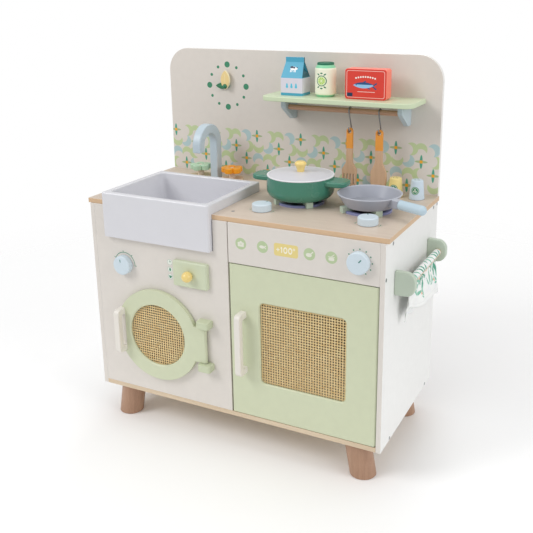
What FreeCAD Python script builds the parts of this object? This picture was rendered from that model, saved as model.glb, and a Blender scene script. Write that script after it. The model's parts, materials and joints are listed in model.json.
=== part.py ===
import FreeCAD, Part
import math
import os

Vector = FreeCAD.Vector

# Toy kitchen: a sink and washing machine bay on the left, a hob and oven bay on the right.
# Millimetres. X runs to the right, Y runs to the back, Z is up from the floor, and
# X = 0, Y = 0 is the middle of the worktop until the last step moves the origin.

# Carcass
worktop_width = 600.0
worktop_depth = 285.0
body_height = 377.0
leg_height = 66.0
board = 9.0
worktop_overhang = 5.0
front_proud = 1.5
edge_round = 1.0
spindle_round = 0.5
splash_height = 260.0
splash_margin = 3.0
splash_corner = 47.0
batten_size = 18.0
seam_gap = 1.5
divider_offset = 7.75

# Tools that cut right through run this far past each face, and an edge this close to a
# plane counts as lying in it. A fillet takes no more than the largest share of its wall.
overcut = 1.0
tolerance = 0.1
largest_share = 0.45

# Legs
leg_radius = 23.5
leg_splay = 10.0
leg_inset_x = 41.0
leg_inset_y = 27.5

# Sink
sink_width = 232.0
sink_depth = 192.5
sink_height = 85.5
sink_rise = 18.3
sink_wall = 12.0
sink_floor = 8.0
sink_proud = 10.5
sink_side_margin = 27.5
sink_seam_margin = 31.75
sink_gap = 0.5
sink_corner = 4.0
sink_top_round = 3.0
sink_inner_corner = 10.0
sink_floor_round = 6.0
sink_lip_round = 2.5
apron_gap = 2.0

# Tap and its flower handles
tap_width = 18.0
tap_section = 19.0
tap_arch_radius = 41.5
tap_arch_height = 75.5
tap_spout_height = 64.0
tap_back_margin = 32.5
tap_offset = 21.0
tap_round = 2.5
disc_radius = 24.0
disc_height = 3.0
handle_offset = 38.0
handle_shift = 2.0
handle_back_margin = 45.5
petal_count = 5
petal_radius = 9.0
petal_reach = 13.5
petal_thickness = 11.0
petal_round = 2.0
flower_core_radius = 12.5
flower_dish_radius = 7.5
flower_dish_depth = 1.2
stem_radius = 6.5
stem_height = 12.0
stem_tail = 4.0
tenon_radius = 3.2
tenon_recess = 0.6

# Spindles turn in their holes with this radial clearance
spindle_radius = 3.0
running_clearance = 0.05
spindle_tail = 5.0
knob_gap = 0.5
knob_round = 2.5

# Washing machine front
washer_radius = 91.0
washer_opening_radius = 75.0
washer_window_radius = 61.0
washer_seam_margin = 155.75
washer_floor_margin = 125.5
washer_door_gap = 1.0
washer_tab_height = 70.0
washer_tab_reach = 17.5
washer_tab_setback = 2.0
rim_ease = 0.3
washer_notch_reach = 72.0
washer_handle_height = 89.0
washer_handle_projection = 30.0
washer_block_width = 27.0
washer_block_height = 14.0
washer_block_depth = 18.0
washer_block_gap = 1.0
washer_block_past_pin = 15.5
washer_block_corner = 5.0
washer_block_round = 1.5
washer_knob_radius = 18.5
washer_knob_margin_x = 64.0
washer_knob_drop = 53.8

# Detergent drawer
drawer_width = 72.5
drawer_height = 49.0
drawer_seam_margin = 76.5
drawer_drop = 50.3
drawer_overlap = 7.0
drawer_length = 62.0
drawer_wall = 4.0
drawer_clearance = 0.75
drawer_housing_wall = 4.0
drawer_back_gap = 2.0
drawer_corner = 3.0
drawer_bevel = 2.0
ball_neck_radius = 5.5
ball_radius = 10.0
ball_projection = 18.0

# Oven
control_height = 74.0
oven_knob_radius = 19.0
oven_knob_margin = 35.0
oven_knob_height = 38.0
door_gap = 1.5
oven_window_left = 58.0
oven_window_right = 55.5
oven_window_bottom = 70.0
oven_window_top = 65.5
oven_window_corner = 9.0
oven_handle_height = 119.0
oven_handle_margin = 20.0
oven_handle_projection = 26.0
handle_thickness = 12.0
handle_bar = 12.0
handle_corner = 9.0
grip_corner = 4.0
grip_round = 2.0
knob_depth = 12.0

# Cane sheets behind the door windows
cane_thickness = 1.2
cane_rebate = 5.0
cane_depth = 4.5
cane_clearance = 0.3
window_bevel = 2.0

# Hinges
pin_radius = 2.0
pin_grip = 9.5
collar_radius = 3.6
collar_play = 0.1
pin_floor = 1.0
pin_cap = 3.0

# Magnet catches
magnet_radius = 5.0
magnet_depth = 4.0
magnet_inset = 8.0
catch_width = 14.0
catch_depth = 16.0
catch_height = 24.0

# Hob
burner_radius = 44.0
burner_pocket_radius = 36.0
burner_height = 4.0
burner_floor = 1.5
burner_spacing = 130.5
burner_shift = 0.75
burner_y = -3.0
burner_round = 1.5
burner_pad_count = 4
pad_inner = 28.0
pad_outer = 50.0
pad_width = 13.0
pad_height = 11.0
hob_knob_radius = 17.5
hob_knob_height = 14.0
hob_knob_front_margin = 59.5
hob_knob_seam_margin = 36.5
hob_knob_right_margin = 44.75

# Cookware
rest_gap = 0.1
pot_radius = 62.0
pot_height = 40.0
pot_wall = 3.5
pot_floor = 4.5
pot_foot_round = 16.0
pot_floor_round = 12.0
pot_shift = 1.0
pot_lug_reach = 94.0
pot_lug_width = 45.0
pot_lug_thickness = 9.5
pot_lug_corner = 17.0
pot_lug_round = 3.0
pot_lug_drop = 2.5
pot_lug_root = 12.0
pot_lug_bite = 1.5
lid_rim = 2.5
lid_height = 7.0
lid_spigot = 4.0
lid_fit = 0.5
lid_bevel = 1.0
lid_band = 4.0
lid_groove = 0.4
lid_sag = 1.4
lid_seat_depth = 1.0
lid_socket_depth = 6.0
lid_knob_radius = 11.0
lid_knob_height = 20.0
lid_neck_radius = 7.0
lid_tenon = 5.0
pan_rim_radius = 58.0
pan_base_radius = 43.0
pan_height = 23.0
pan_wall = 3.0
pan_base_round = 2.0
pan_lip_round = 0.8
pan_shift_x = 6.0
pan_shift_y = 5.0
pan_handle_radius = 8.5
pan_handle_angle = -23.0
pan_handle_end = 125.0
pan_socket_length = 12.0
pan_socket_root = 13.0
pan_socket_size = 15.0
pan_socket_drop = 1.0
pan_socket_round = 2.0
pan_socket_bite = 1.0
pan_tenon_radius = 4.0
pan_tenon_start = 2.0
pan_tenon_overlap = 4.0

# Shakers
shaker_base_radius = 14.6
shaker_top_radius = 11.0
shaker_height = 36.5
shaker_spacing = 41.4
shaker_right_margin = 33.0
shaker_back_margin = 37.0
shaker_foot_round = 1.5
shaker_top_round = 2.0
shaker_hole_count = 3
shaker_hole_radius = 0.9
shaker_hole_ring = 4.0
shaker_hole_depth = 3.0

# Clock
clock_left_margin = 142.0
clock_height = 185.5
hand_thickness = 5.0
hand_hub_radius = 5.0
long_hand = 32.0
long_hand_width = 20.0
short_hand = 25.5
short_hand_width = 13.0
hand_tail = 6.5
hand_gap = 0.5
hand_round = 0.8

# Shelf
shelf_length = 302.0
shelf_depth = 84.5
shelf_height = 172.0
shelf_right_margin = 34.0
shelf_corner = 20.0
shelf_round = 1.5
bracket_thickness = 10.0
bracket_inset_left = 31.0
bracket_inset_right = 26.0
bracket_drop = 42.0
bracket_reach = 54.5
bracket_nose = 16.0
bracket_nose_corner = 9.0
bracket_low_corner = 7.0
bracket_heel_corner = 2.0
bracket_round = 1.5
rail_radius = 5.0
rail_drop = 15.5
rail_back_margin = 37.5
rail_socket = 5.0

# Hooks and utensils
wire_radius = 1.25
hook_spacing = 59.0
hook_first = 137.5
hook_length = 33.0
lower_bend_radius = 6.5
hook_clearance = 0.3
hook_start_angle = -25.0
hook_end_angle = -200.0
utensil_thickness = 6.0
utensil_length = 114.0
utensil_hole_radius = 4.0
utensil_head = 6.5
utensil_round = 1.0
spatula_handle_width = 12.7
spatula_blade_width = 30.0
spatula_blade_length = 40.0
spatula_neck = 8.0
spatula_shoulder = 6.0
spatula_taper = 1.0
spoon_handle_width = 14.2
spoon_bowl_width = 31.0
spoon_bowl_length = 46.0
spoon_neck = 6.0
spoon_shoulder = 12.0
slot_count = 4
slot_width = 3.2
slot_length = 20.0
slot_margin = 6.0
slot_corner = 1.5

# Food on the shelf
milk_width = 45.0
milk_depth = 36.0
milk_body = 33.0
milk_roof = 29.0
milk_fin = 9.0
milk_pinch = 3.5
milk_fin_half = 2.2
milk_fold_depth = 9.0
can_radius = 20.0
can_height = 63.0
can_neck_radius = 16.0
can_shoulder = 11.0
can_foot = 6.0
can_rim = 4.0
can_rim_wall = 1.5
can_rim_depth = 1.2
tin_width = 80.0
tin_depth = 28.0
tin_height = 55.5
tin_corner = 5.0
tin_round = 1.0
can_setback = 19.0
food_setback = 27.5
milk_shelf_margin = 33.0
can_shelf_margin = 118.0
tin_shelf_margin = 165.0

# Towel bar and towel
towel_bracket_reach = 36.0
towel_bracket_height = 43.0
towel_bracket_thickness = 11.0
towel_bracket_corner = 17.0
towel_bracket_foot_corner = 3.0
towel_bracket_slope = 1.0
towel_bracket_round = 2.0
towel_bracket_rise = 2.0
towel_bracket_spacing = 188.0
towel_bracket_shift = 1.0
towel_bracket_drop = 92.5
towel_bar_radius = 6.0
towel_bar_reach = 21.0
towel_width = 166.0
towel_thickness = 3.0
towel_outer_drop = 137.0
towel_inner_drop = 120.0
towel_clearance = 0.3

# Screws
screw_head_radius = 3.4
screw_head_depth = 2.0
screw_shank_radius = 1.6
screw_length = 24.0
screw_front_margin = 33.5
screw_back_margin = 18.5
low_screw_front_margin = 45.5
low_screw_back_margin = 26.5
panel_screw_rise = 12.0
splash_screw_rise = 1.0
worktop_screw_margin = 34.0

# Levels and faces that follow from the sizes above
half_outer = worktop_width / 2 - worktop_overhang
half_inner = half_outer - board
back_y = worktop_depth / 2
rear_y = back_y + board
splash_width = worktop_width - 2 * splash_margin
front_y = -worktop_depth / 2 - front_proud
panel_back_y = front_y + board
body_z = leg_height
floor_z = body_z + board
under_z = body_z + body_height
top_z = under_z + board

sink_x0 = -half_inner + sink_side_margin
sink_x1 = sink_x0 + sink_width
sink_y0 = front_y - sink_proud
sink_y1 = sink_y0 + sink_depth
sink_z1 = top_z + sink_rise
sink_z0 = sink_z1 - sink_height
seam_x = sink_x1 + sink_seam_margin
divider_x0 = seam_x - divider_offset - board / 2
divider_x1 = divider_x0 + board
washer_panel_x1 = seam_x - seam_gap / 2
control_x0 = seam_x + seam_gap / 2
control_z0 = under_z - control_height

tap_x = (sink_x0 + sink_x1) / 2 - tap_offset
handle_y = back_y - handle_back_margin
left_handle_x = tap_x - handle_offset + handle_shift
right_handle_x = tap_x + handle_offset + handle_shift

washer_x = seam_x - washer_seam_margin
washer_z = floor_z + washer_floor_margin
washer_back_y = front_y - washer_door_gap
washer_front_y = washer_back_y - board
washer_tab_x = washer_x + washer_radius + washer_tab_reach
washer_pin_x = washer_tab_x - board / 2
washer_pin_y = (washer_back_y + washer_front_y) / 2
washer_notch_x = washer_x - washer_notch_reach
washer_knob_x = -half_inner + washer_knob_margin_x
washer_knob_z = sink_z0 - washer_knob_drop

drawer_x = seam_x - drawer_seam_margin
drawer_z = sink_z0 - drawer_drop
drawer_inner_width = drawer_width - 2 * drawer_overlap
drawer_inner_height = drawer_height - 2 * drawer_overlap

door_x0 = control_x0 + door_gap
door_x1 = half_inner - door_gap
door_z0 = floor_z + door_gap
door_z1 = control_z0 - door_gap
oven_pin_x = door_x1 - board / 2
oven_pin_y = front_y + board / 2
oven_knob_x = half_inner - oven_knob_margin
oven_knob_z = control_z0 + oven_knob_height

hob_x = (seam_x + half_inner) / 2 - burner_shift
left_burner_x = hob_x - burner_spacing / 2
right_burner_x = hob_x + burner_spacing / 2
hob_knob_y = -worktop_depth / 2 + hob_knob_front_margin
left_hob_knob_x = seam_x + hob_knob_seam_margin
right_hob_knob_x = half_inner - hob_knob_right_margin
pot_z = top_z + pad_height + rest_gap
lid_z = pot_z + pot_height + rest_gap
pot_x = left_burner_x + pot_shift
pot_y = burner_y - pot_shift
pan_x = right_burner_x + pan_shift_x
pan_y = burner_y - pan_shift_y

clock_x = -splash_width / 2 + clock_left_margin
clock_z = top_z + clock_height

shelf_x1 = half_outer + worktop_overhang - shelf_right_margin
shelf_x0 = shelf_x1 - shelf_length
shelf_z = top_z + shelf_height
shelf_front_y = back_y - shelf_depth
food_y = shelf_front_y + food_setback
food_z = shelf_z + board + rest_gap
left_bracket_x = shelf_x0 + bracket_inset_left
right_bracket_x = shelf_x1 - bracket_inset_right - bracket_thickness
rail_y = back_y - rail_back_margin
rail_z = shelf_z - rail_drop
spatula_x = left_bracket_x + hook_first
spoon_x = spatula_x + hook_spacing
hook_radius = rail_radius + hook_clearance + wire_radius
lower_bend_z = rail_z - hook_length
utensil_pivot_z = lower_bend_z - lower_bend_radius + wire_radius / 3

towel_bar_x = half_outer + towel_bar_reach
towel_bar_z = top_z - towel_bracket_drop
towel_front_y = towel_bracket_shift - towel_bracket_spacing / 2
towel_back_y = towel_bracket_shift + towel_bracket_spacing / 2


# Shape helpers

def on_xy(z):
    return lambda point: Vector(point.x, point.y, z)


def on_xz(y):
    return lambda point: Vector(point.x, y, point.y)


def on_yz(x):
    return lambda point: Vector(x, point.x, point.y)


def outline(corners, place):
    # Closed wire round (u, v, radius) corners; place turns (u, v) into a point in space.
    count = len(corners)
    bends = []
    for i, (u, v, radius) in enumerate(corners):
        corner = Vector(u, v, 0)
        if radius == 0:
            bends.append((corner, None, corner))
            continue
        before = Vector(*corners[i - 1][:2], 0) - corner
        after = Vector(*corners[(i + 1) % count][:2], 0) - corner
        before.normalize()
        after.normalize()
        half = before.getAngle(after) / 2
        reach = radius / math.tan(half)
        inward = before + after
        inward.normalize()
        middle = corner + inward * (radius / math.sin(half) - radius)
        bends.append((corner + before * reach, middle, corner + after * reach))
    edges = []
    for i, (start, middle, end) in enumerate(bends):
        if middle:
            edges.append(Part.Arc(place(start), place(middle), place(end)).toShape())
        following = bends[(i + 1) % count][0]
        if (following - end).Length > 1e-6:
            edges.append(Part.LineSegment(place(end), place(following)).toShape())
    return Part.Wire(edges)


def plate_xy(corners, z0, z1):
    return Part.Face(outline(corners, on_xy(z0))).extrude(Vector(0, 0, z1 - z0))


def plate_xz(corners, y0, y1):
    return Part.Face(outline(corners, on_xz(y0))).extrude(Vector(0, y1 - y0, 0))


def plate_yz(corners, x0, x1):
    return Part.Face(outline(corners, on_yz(x0))).extrude(Vector(x1 - x0, 0, 0))


def rectangle(u0, u1, v0, v1, radius=0):
    return [(u0, v0, radius), (u1, v0, radius), (u1, v1, radius), (u0, v1, radius)]


def block(x0, x1, y0, y1, z0, z1):
    return Part.makeBox(x1 - x0, y1 - y0, z1 - z0, Vector(x0, y0, z0))


def rod(radius, x, y, z, direction, length):
    return Part.makeCylinder(radius, length, Vector(x, y, z), Vector(*direction))


def turned(profile, centre, facing_front=False):
    # Solid of revolution from (r, z, radius) corners, upright or with its axis towards -Y.
    solid = Part.Face(outline(profile, on_xz(0))).revolve(Vector(0, 0, 0), Vector(0, 0, 1), 360)
    if facing_front:
        solid.rotate(Vector(0, 0, 0), Vector(1, 0, 0), 90)
    solid.translate(Vector(*centre))
    return solid


def soften(shape, radius, chosen=lambda edge: True):
    edges = [edge for edge in shape.Edges if chosen(edge)]
    return shape.makeFillet(radius, edges)


def on_plane(axis, value):
    # Tests whether an edge lies wholly in the plane where one coordinate has this value.
    def test(edge):
        bounds = edge.BoundBox
        low = getattr(bounds, axis + "Min")
        high = getattr(bounds, axis + "Max")
        return abs(low - value) < tolerance and abs(high - value) < tolerance
    return test


def soft_board(x0, x1, y0, y1, z0, z1):
    return soften(block(x0, x1, y0, y1, z0, z1), edge_round)


def group(shapes):
    return Part.makeCompound(shapes)


# Carcass

def worktop():
    half = worktop_width / 2
    slab = soft_board(-half, half, -back_y, back_y, under_z, top_z)
    notch = block(sink_x0 - sink_gap, sink_x1 + sink_gap, -worktop_depth,
                  sink_y1 + sink_gap, under_z - overcut, top_z + overcut)
    slab = slab.cut(notch)
    for x in (left_hob_knob_x, right_hob_knob_x):
        slab = slab.cut(spindle_hole(x, hob_knob_y, under_z - overcut, (0, 0, 1)))
    for x in (left_handle_x, right_handle_x):
        slab = slab.cut(spindle_hole(x, handle_y, under_z - overcut, (0, 0, 1)))
    return slab


def spindle_hole(x, y, z, direction):
    return rod(spindle_radius + running_clearance, x, y, z, direction, board + 2 * overcut)


def side_panel(outer_x, inner_x):
    x0, x1 = sorted((outer_x, inner_x))
    return soft_board(x0, x1, front_y, rear_y, body_z, under_z)


def bottom_panel():
    panel = soft_board(-half_inner, half_inner, front_y, back_y, body_z, floor_z)
    return panel.cut(rod(pin_radius, oven_pin_x, oven_pin_y, body_z + pin_floor, (0, 0, 1), board))


def washer_front_panel():
    panel = soft_board(-half_inner, washer_panel_x1, front_y, panel_back_y, floor_z, under_z)
    sink_notch = block(sink_x0 - apron_gap, sink_x1 + apron_gap, front_y - overcut,
                       panel_back_y + overcut, sink_z0, under_z + overcut)
    opening = rod(washer_opening_radius, washer_x, front_y - overcut, washer_z, (0, 1, 0),
                  board + 2 * overcut)
    slot = block(*drawer_slot_sides(drawer_clearance), front_y - overcut, panel_back_y + overcut,
                 *drawer_slot_levels(drawer_clearance))
    knob_hole = spindle_hole(washer_knob_x, front_y - overcut, washer_knob_z, (0, 1, 0))
    magnet_hole = washer_magnet()
    return panel.cut([sink_notch, opening, slot, knob_hole, magnet_hole])


def drawer_slot_sides(clearance):
    half = drawer_inner_width / 2 + clearance
    return drawer_x - half, drawer_x + half


def drawer_slot_levels(clearance):
    half = drawer_inner_height / 2 + clearance
    return drawer_z - half, drawer_z + half


def control_panel():
    panel = soft_board(control_x0, half_inner, front_y, panel_back_y, control_z0, under_z)
    knob_hole = spindle_hole(oven_knob_x, front_y - overcut, oven_knob_z, (0, 1, 0))
    pin_hole = rod(pin_radius, oven_pin_x, oven_pin_y, control_z0 - overcut, (0, 0, 1),
                   pin_grip + overcut)
    return panel.cut([knob_hole, pin_hole])


def backsplash_panel():
    half = splash_width / 2
    crown = top_z + splash_height
    corners = [(-half, under_z, edge_round), (half, under_z, edge_round),
               (half, crown, splash_corner), (-half, crown, splash_corner)]
    panel = plate_xz(corners, back_y, rear_y)
    return soften(panel, edge_round, on_plane("Y", back_y))


def battens():
    # One under the worktop along each side panel, and one across under the back of the sink.
    z0 = under_z - batten_size
    side = half_inner - batten_size
    return group([
        block(-half_inner, -side, panel_back_y, back_y, z0, under_z),
        block(side, half_inner, panel_back_y, back_y, z0, under_z),
        block(-half_inner, divider_x0, sink_y1 - batten_size, sink_y1,
              sink_z0 - batten_size, sink_z0)])


def legs():
    # Beech dowels leaning outwards, with their ends cut level.
    tilt = math.radians(leg_splay)
    solids = []
    for side_x in (-1, 1):
        foot_x = side_x * (half_outer - leg_inset_x)
        direction = Vector(-side_x * math.sin(tilt), 0, math.cos(tilt))
        for side_y in (-1, 1):
            foot = Vector(foot_x, side_y * (back_y - leg_inset_y), 0)
            dowel = Part.makeCylinder(leg_radius, 2 * leg_height, foot - direction * leg_height / 2,
                                      direction)
            limits = block(-worktop_width, worktop_width, -worktop_depth, worktop_depth,
                           0, leg_height)
            leg = dowel.common(limits)
            solids.append(soften(leg, edge_round, on_plane("Z", 0)))
    return group(solids)


# Sink and tap

def sink_basin():
    shell = plate_xy(rectangle(sink_x0, sink_x1, sink_y0, sink_y1, sink_corner), sink_z0, sink_z1)
    shell = soften(shell, sink_top_round, on_plane("Z", sink_z1))
    hollow = plate_xy(rectangle(sink_x0 + sink_wall, sink_x1 - sink_wall, sink_y0 + sink_wall,
                                sink_y1 - sink_wall, sink_inner_corner),
                      sink_z0 + sink_floor, sink_z1 + overcut)
    hollow = soften(hollow, sink_floor_round, on_plane("Z", sink_z0 + sink_floor))
    basin = shell.cut(hollow)
    inner_x0 = sink_x0 + sink_wall - tolerance
    inner_x1 = sink_x1 - sink_wall + tolerance

    def inner_rim(edge):
        bounds = edge.BoundBox
        return on_plane("Z", sink_z1)(edge) and bounds.XMin > inner_x0 and bounds.XMax < inner_x1
    return soften(basin, sink_lip_round, inner_rim)


def tap():
    # Flat cane shape: a leg at the back, a half-ring and a short spout over the basin.
    arch_y = back_y - tap_back_margin - tap_arch_radius
    arch_z = top_z + tap_arch_height
    inner = tap_arch_radius - tap_section
    x0 = tap_x - tap_width / 2
    back = arch_y + tap_arch_radius
    front = arch_y - tap_arch_radius
    spout_z = top_z + tap_spout_height
    place = on_yz(x0)

    def at(y, z):
        return place(Vector(y, z, 0))

    edges = [
        Part.LineSegment(at(back - tap_section, top_z), at(back, top_z)),
        Part.LineSegment(at(back, top_z), at(back, arch_z)),
        Part.Arc(at(back, arch_z), at(arch_y, arch_z + tap_arch_radius), at(front, arch_z)),
        Part.LineSegment(at(front, arch_z), at(front, spout_z)),
        Part.LineSegment(at(front, spout_z), at(front + tap_section, spout_z)),
        Part.LineSegment(at(front + tap_section, spout_z), at(front + tap_section, arch_z)),
        Part.Arc(at(front + tap_section, arch_z), at(arch_y, arch_z + inner),
                 at(back - tap_section, arch_z)),
        Part.LineSegment(at(back - tap_section, arch_z), at(back - tap_section, top_z))]
    cane = Part.Face(Part.Wire([edge.toShape() for edge in edges])).extrude(Vector(tap_width, 0, 0))
    return soften(cane, tap_round, lambda edge: edge.BoundBox.ZMin > top_z + overcut
                  or edge.BoundBox.ZLength > tap_section)


def tap_discs():
    discs = []
    for x in (left_handle_x, right_handle_x):
        disc = rod(disc_radius, x, handle_y, top_z, (0, 0, 1), disc_height)
        disc = soften(disc, edge_round, on_plane("Z", top_z + disc_height))
        discs.append(disc.cut(spindle_hole(x, handle_y, top_z - overcut, (0, 0, 1))))
    return group(discs)


def flower(x):
    # Ring of round petals with a dished middle and a hole for the stem's tenon.
    z0 = top_z + disc_height + stem_height
    petals = [rod(flower_core_radius, x, handle_y, z0, (0, 0, 1), petal_thickness)]
    for i in range(petal_count):
        angle = 2 * math.pi * i / petal_count - math.pi / 2
        petal = rod(petal_radius, x + petal_reach * math.cos(angle),
                    handle_y + petal_reach * math.sin(angle), z0, (0, 0, 1), petal_thickness)
        petals.append(soften(petal, petal_round))
    shape = petals[0].multiFuse(petals[1:])
    dish = rod(flower_dish_radius, x, handle_y, z0 + petal_thickness - flower_dish_depth,
               (0, 0, 1), flower_dish_depth + overcut)
    tenon_hole = rod(tenon_radius, x, handle_y, z0 - overcut, (0, 0, 1),
                     petal_thickness + 2 * overcut)
    return shape.cut([dish, tenon_hole])


def tap_stem(x):
    foot = disc_height + board + stem_tail
    height = stem_height + petal_thickness - tenon_recess
    profile = [(0, -foot, 0), (spindle_radius, -foot, spindle_round), (spindle_radius, rest_gap, 0),
               (stem_radius, rest_gap, 0), (stem_radius, stem_height, 0),
               (tenon_radius, stem_height, 0), (tenon_radius, height, spindle_round), (0, height, 0)]
    return turned(profile, (x, handle_y, top_z + disc_height))


# Knobs

def knob(radius, height, centre, facing_front=False):
    # Round knob with a softened rim; its spindle runs back through the panel.
    reach = board + spindle_tail
    profile = [(0, -reach, 0), (spindle_radius, -reach, spindle_round),
               (spindle_radius, knob_gap, 0), (radius, knob_gap, edge_round),
               (radius, height, knob_round), (0, height, 0)]
    return turned(profile, centre, facing_front)


# Doors

def oven_window(margin, depth, start_y):
    corners = rectangle(door_x0 + oven_window_left - margin, door_x1 - oven_window_right + margin,
                        door_z0 + oven_window_bottom - margin, door_z1 - oven_window_top + margin,
                        oven_window_corner + margin)
    return plate_xz(corners, start_y, start_y + depth)


def oven_door_panel():
    round_edge = board / 2
    corners = [(door_x0, front_y, edge_round), (door_x1, front_y, round_edge),
               (door_x1, panel_back_y, round_edge), (door_x0, panel_back_y, edge_round)]
    door = plate_xy(corners, door_z0, door_z1)
    window = oven_window(0, board + 2 * overcut, front_y - overcut)
    rebate = oven_window(cane_rebate, board, front_y + cane_depth)
    door = door.cut([window, rebate])
    window_x0 = door_x0 + oven_window_left - overcut
    window_x1 = door_x1 - oven_window_right + overcut

    def window_edge(edge):
        bounds = edge.BoundBox
        return on_plane("Y", front_y)(edge) and bounds.XMin > window_x0 and bounds.XMax < window_x1
    door = door.makeChamfer(window_bevel, [edge for edge in door.Edges if window_edge(edge)])
    bore = pin_radius + running_clearance
    deep = pin_grip + pin_floor
    return door.cut([
        rod(bore, oven_pin_x, oven_pin_y, door_z0 - overcut, (0, 0, 1), deep + overcut),
        rod(bore, oven_pin_x, oven_pin_y, door_z1 - deep, (0, 0, 1), deep + overcut)])


def oven_door_cane():
    return oven_window(cane_rebate - cane_clearance, cane_thickness, front_y + cane_depth)


def grip(x0, back, front, z0, z1, backed):
    # Board-cut pull handle: two feet joined by a bar, and a web behind the gap if backed.
    x1 = x0 + handle_thickness
    gap_back = back - board if backed else back + overcut
    radius = min(grip_corner, largest_share * (gap_back - front - handle_bar))
    foot_corner = edge_round if backed else 0
    web_corner = radius if backed else 0
    body = plate_yz([(front, z0, handle_corner), (back, z0, foot_corner),
                     (back, z1, foot_corner), (front, z1, handle_corner)], x0, x1)
    gap = plate_yz([(front + handle_bar, z0 + handle_bar, radius),
                    (gap_back, z0 + handle_bar, web_corner),
                    (gap_back, z1 - handle_bar, web_corner),
                    (front + handle_bar, z1 - handle_bar, radius)], x0 - overcut, x1 + overcut)
    return soften(body.cut(gap), grip_round, lambda edge: edge.BoundBox.XLength < tolerance
                  and edge.BoundBox.YMin < back - edge_round / 2)


def oven_door_handle():
    middle = (door_z0 + door_z1) / 2
    half = oven_handle_height / 2
    return grip(door_x0 + oven_handle_margin, front_y, front_y - oven_handle_projection,
                middle - half, middle + half, False)


def washer_door_panel():
    # A turned ring with an eased rim, a bevelled window and a rebate for the cane, plus a hinge tab.
    window = washer_window_radius
    rebate = window + cane_rebate
    ease = rim_ease * edge_round
    ring = turned([(window + window_bevel, 0, 0), (washer_radius - edge_round, 0, 0),
                   (washer_radius - ease, -ease, 0), (washer_radius, -edge_round, 0),
                   (washer_radius, -board, 0), (rebate, -board, 0), (rebate, -cane_depth, 0),
                   (window, -cane_depth, 0), (window, -window_bevel, 0)],
                  (washer_x, washer_front_y, washer_z), True)
    half_tab = washer_tab_height / 2
    tab_start = washer_x + rebate + washer_tab_setback
    tab = plate_xy([(tab_start, washer_front_y, 0), (washer_tab_x, washer_front_y, board / 2),
                    (washer_tab_x, washer_back_y, board / 2), (tab_start, washer_back_y, 0)],
                   washer_z - half_tab, washer_z + half_tab)
    half_notch = washer_handle_height / 2
    notch = block(washer_x - washer_radius - overcut, washer_notch_x, washer_front_y - overcut,
                  washer_back_y + overcut, washer_z - half_notch, washer_z + half_notch)
    bore = rod(pin_radius + running_clearance, washer_pin_x, washer_pin_y,
               washer_z - half_tab - overcut, (0, 0, 1), washer_tab_height + 2 * overcut)
    return ring.fuse(tab).cut(notch).cut(bore)


def washer_door_cane():
    return rod(washer_window_radius + cane_rebate - cane_clearance, washer_x,
               washer_front_y + cane_depth, washer_z, (0, 1, 0), cane_thickness)


def washer_door_handle():
    half = washer_handle_height / 2
    return grip(washer_notch_x - handle_thickness, washer_back_y,
                washer_back_y - washer_handle_projection, washer_z - half, washer_z + half, True)


def washer_hinge_blocks():
    blocks = []
    for side in (-1, 1):
        middle = washer_z + side * (washer_tab_height / 2 + washer_block_gap
                                    + washer_block_height / 2)
        x0 = washer_pin_x + washer_block_past_pin - washer_block_width
        corners = [(x0, front_y, 0), (x0 + washer_block_width, front_y, 0),
                   (x0 + washer_block_width, front_y - washer_block_depth, washer_block_corner),
                   (x0, front_y - washer_block_depth, washer_block_corner)]
        solid = plate_xy(corners, middle - washer_block_height / 2,
                         middle + washer_block_height / 2)
        solid = soften(solid, washer_block_round, lambda edge: edge.BoundBox.YMin < front_y - overcut)
        blocks.append(solid.cut(washer_pin()))
    return group(blocks)


def washer_pin():
    length = washer_tab_height + 2 * (washer_block_gap + washer_block_height - pin_cap)
    pin = rod(pin_radius, washer_pin_x, washer_pin_y, washer_z - length / 2, (0, 0, 1), length)
    collar = rod(collar_radius, washer_pin_x, washer_pin_y,
                 washer_z - washer_tab_height / 2 - washer_block_gap, (0, 0, 1),
                 washer_block_gap - collar_play)
    return pin.fuse(collar)


def oven_pins():
    pins = []
    collar = door_gap - collar_play
    for seat_z, up in ((floor_z, 1), (control_z0, -1)):
        grip_into_frame = board - pin_floor if up == 1 else pin_grip
        pin = rod(pin_radius, oven_pin_x, oven_pin_y, seat_z - up * grip_into_frame,
                  (0, 0, up), grip_into_frame + door_gap + pin_grip)
        ring = rod(collar_radius, oven_pin_x, oven_pin_y, seat_z, (0, 0, up), collar)
        pins.append(pin.fuse(ring))
    return pins


def hinge_pins():
    return group(oven_pins() + [washer_pin()])


def washer_magnet():
    return rod(magnet_radius, washer_x - washer_radius + magnet_inset, front_y, washer_z,
               (0, 1, 0), magnet_depth)


def door_magnets():
    middle = (door_z0 + door_z1) / 2
    catch = block(divider_x1, divider_x1 + catch_width, panel_back_y + rest_gap,
                  panel_back_y + catch_depth, middle - catch_height / 2, middle + catch_height / 2)
    return group([catch, washer_magnet()])


# Detergent drawer

def drawer_front():
    x0, x1 = drawer_x - drawer_width / 2, drawer_x + drawer_width / 2
    z0, z1 = drawer_z - drawer_height / 2, drawer_z + drawer_height / 2
    face_y = front_y - rest_gap
    slab = plate_xz(rectangle(x0, x1, z0, z1, drawer_corner), face_y - board, face_y)
    slab = slab.makeChamfer(drawer_bevel, [edge for edge in slab.Edges
                                           if on_plane("Y", face_y - board)(edge)])
    return slab.cut(rod(spindle_radius, drawer_x, face_y - board, drawer_z, (0, 1, 0), board))


def drawer_box():
    x0, x1 = drawer_slot_sides(0)
    z0, z1 = drawer_slot_levels(0)
    y0 = front_y - rest_gap
    y1 = y0 + drawer_length
    solid = block(x0, x1, y0, y1, z0, z1)
    hollow = block(x0 + drawer_wall, x1 - drawer_wall, y0 + drawer_wall, y1 - drawer_wall,
                   z0 + drawer_wall, z1 + overcut)
    return solid.cut(hollow)


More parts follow.
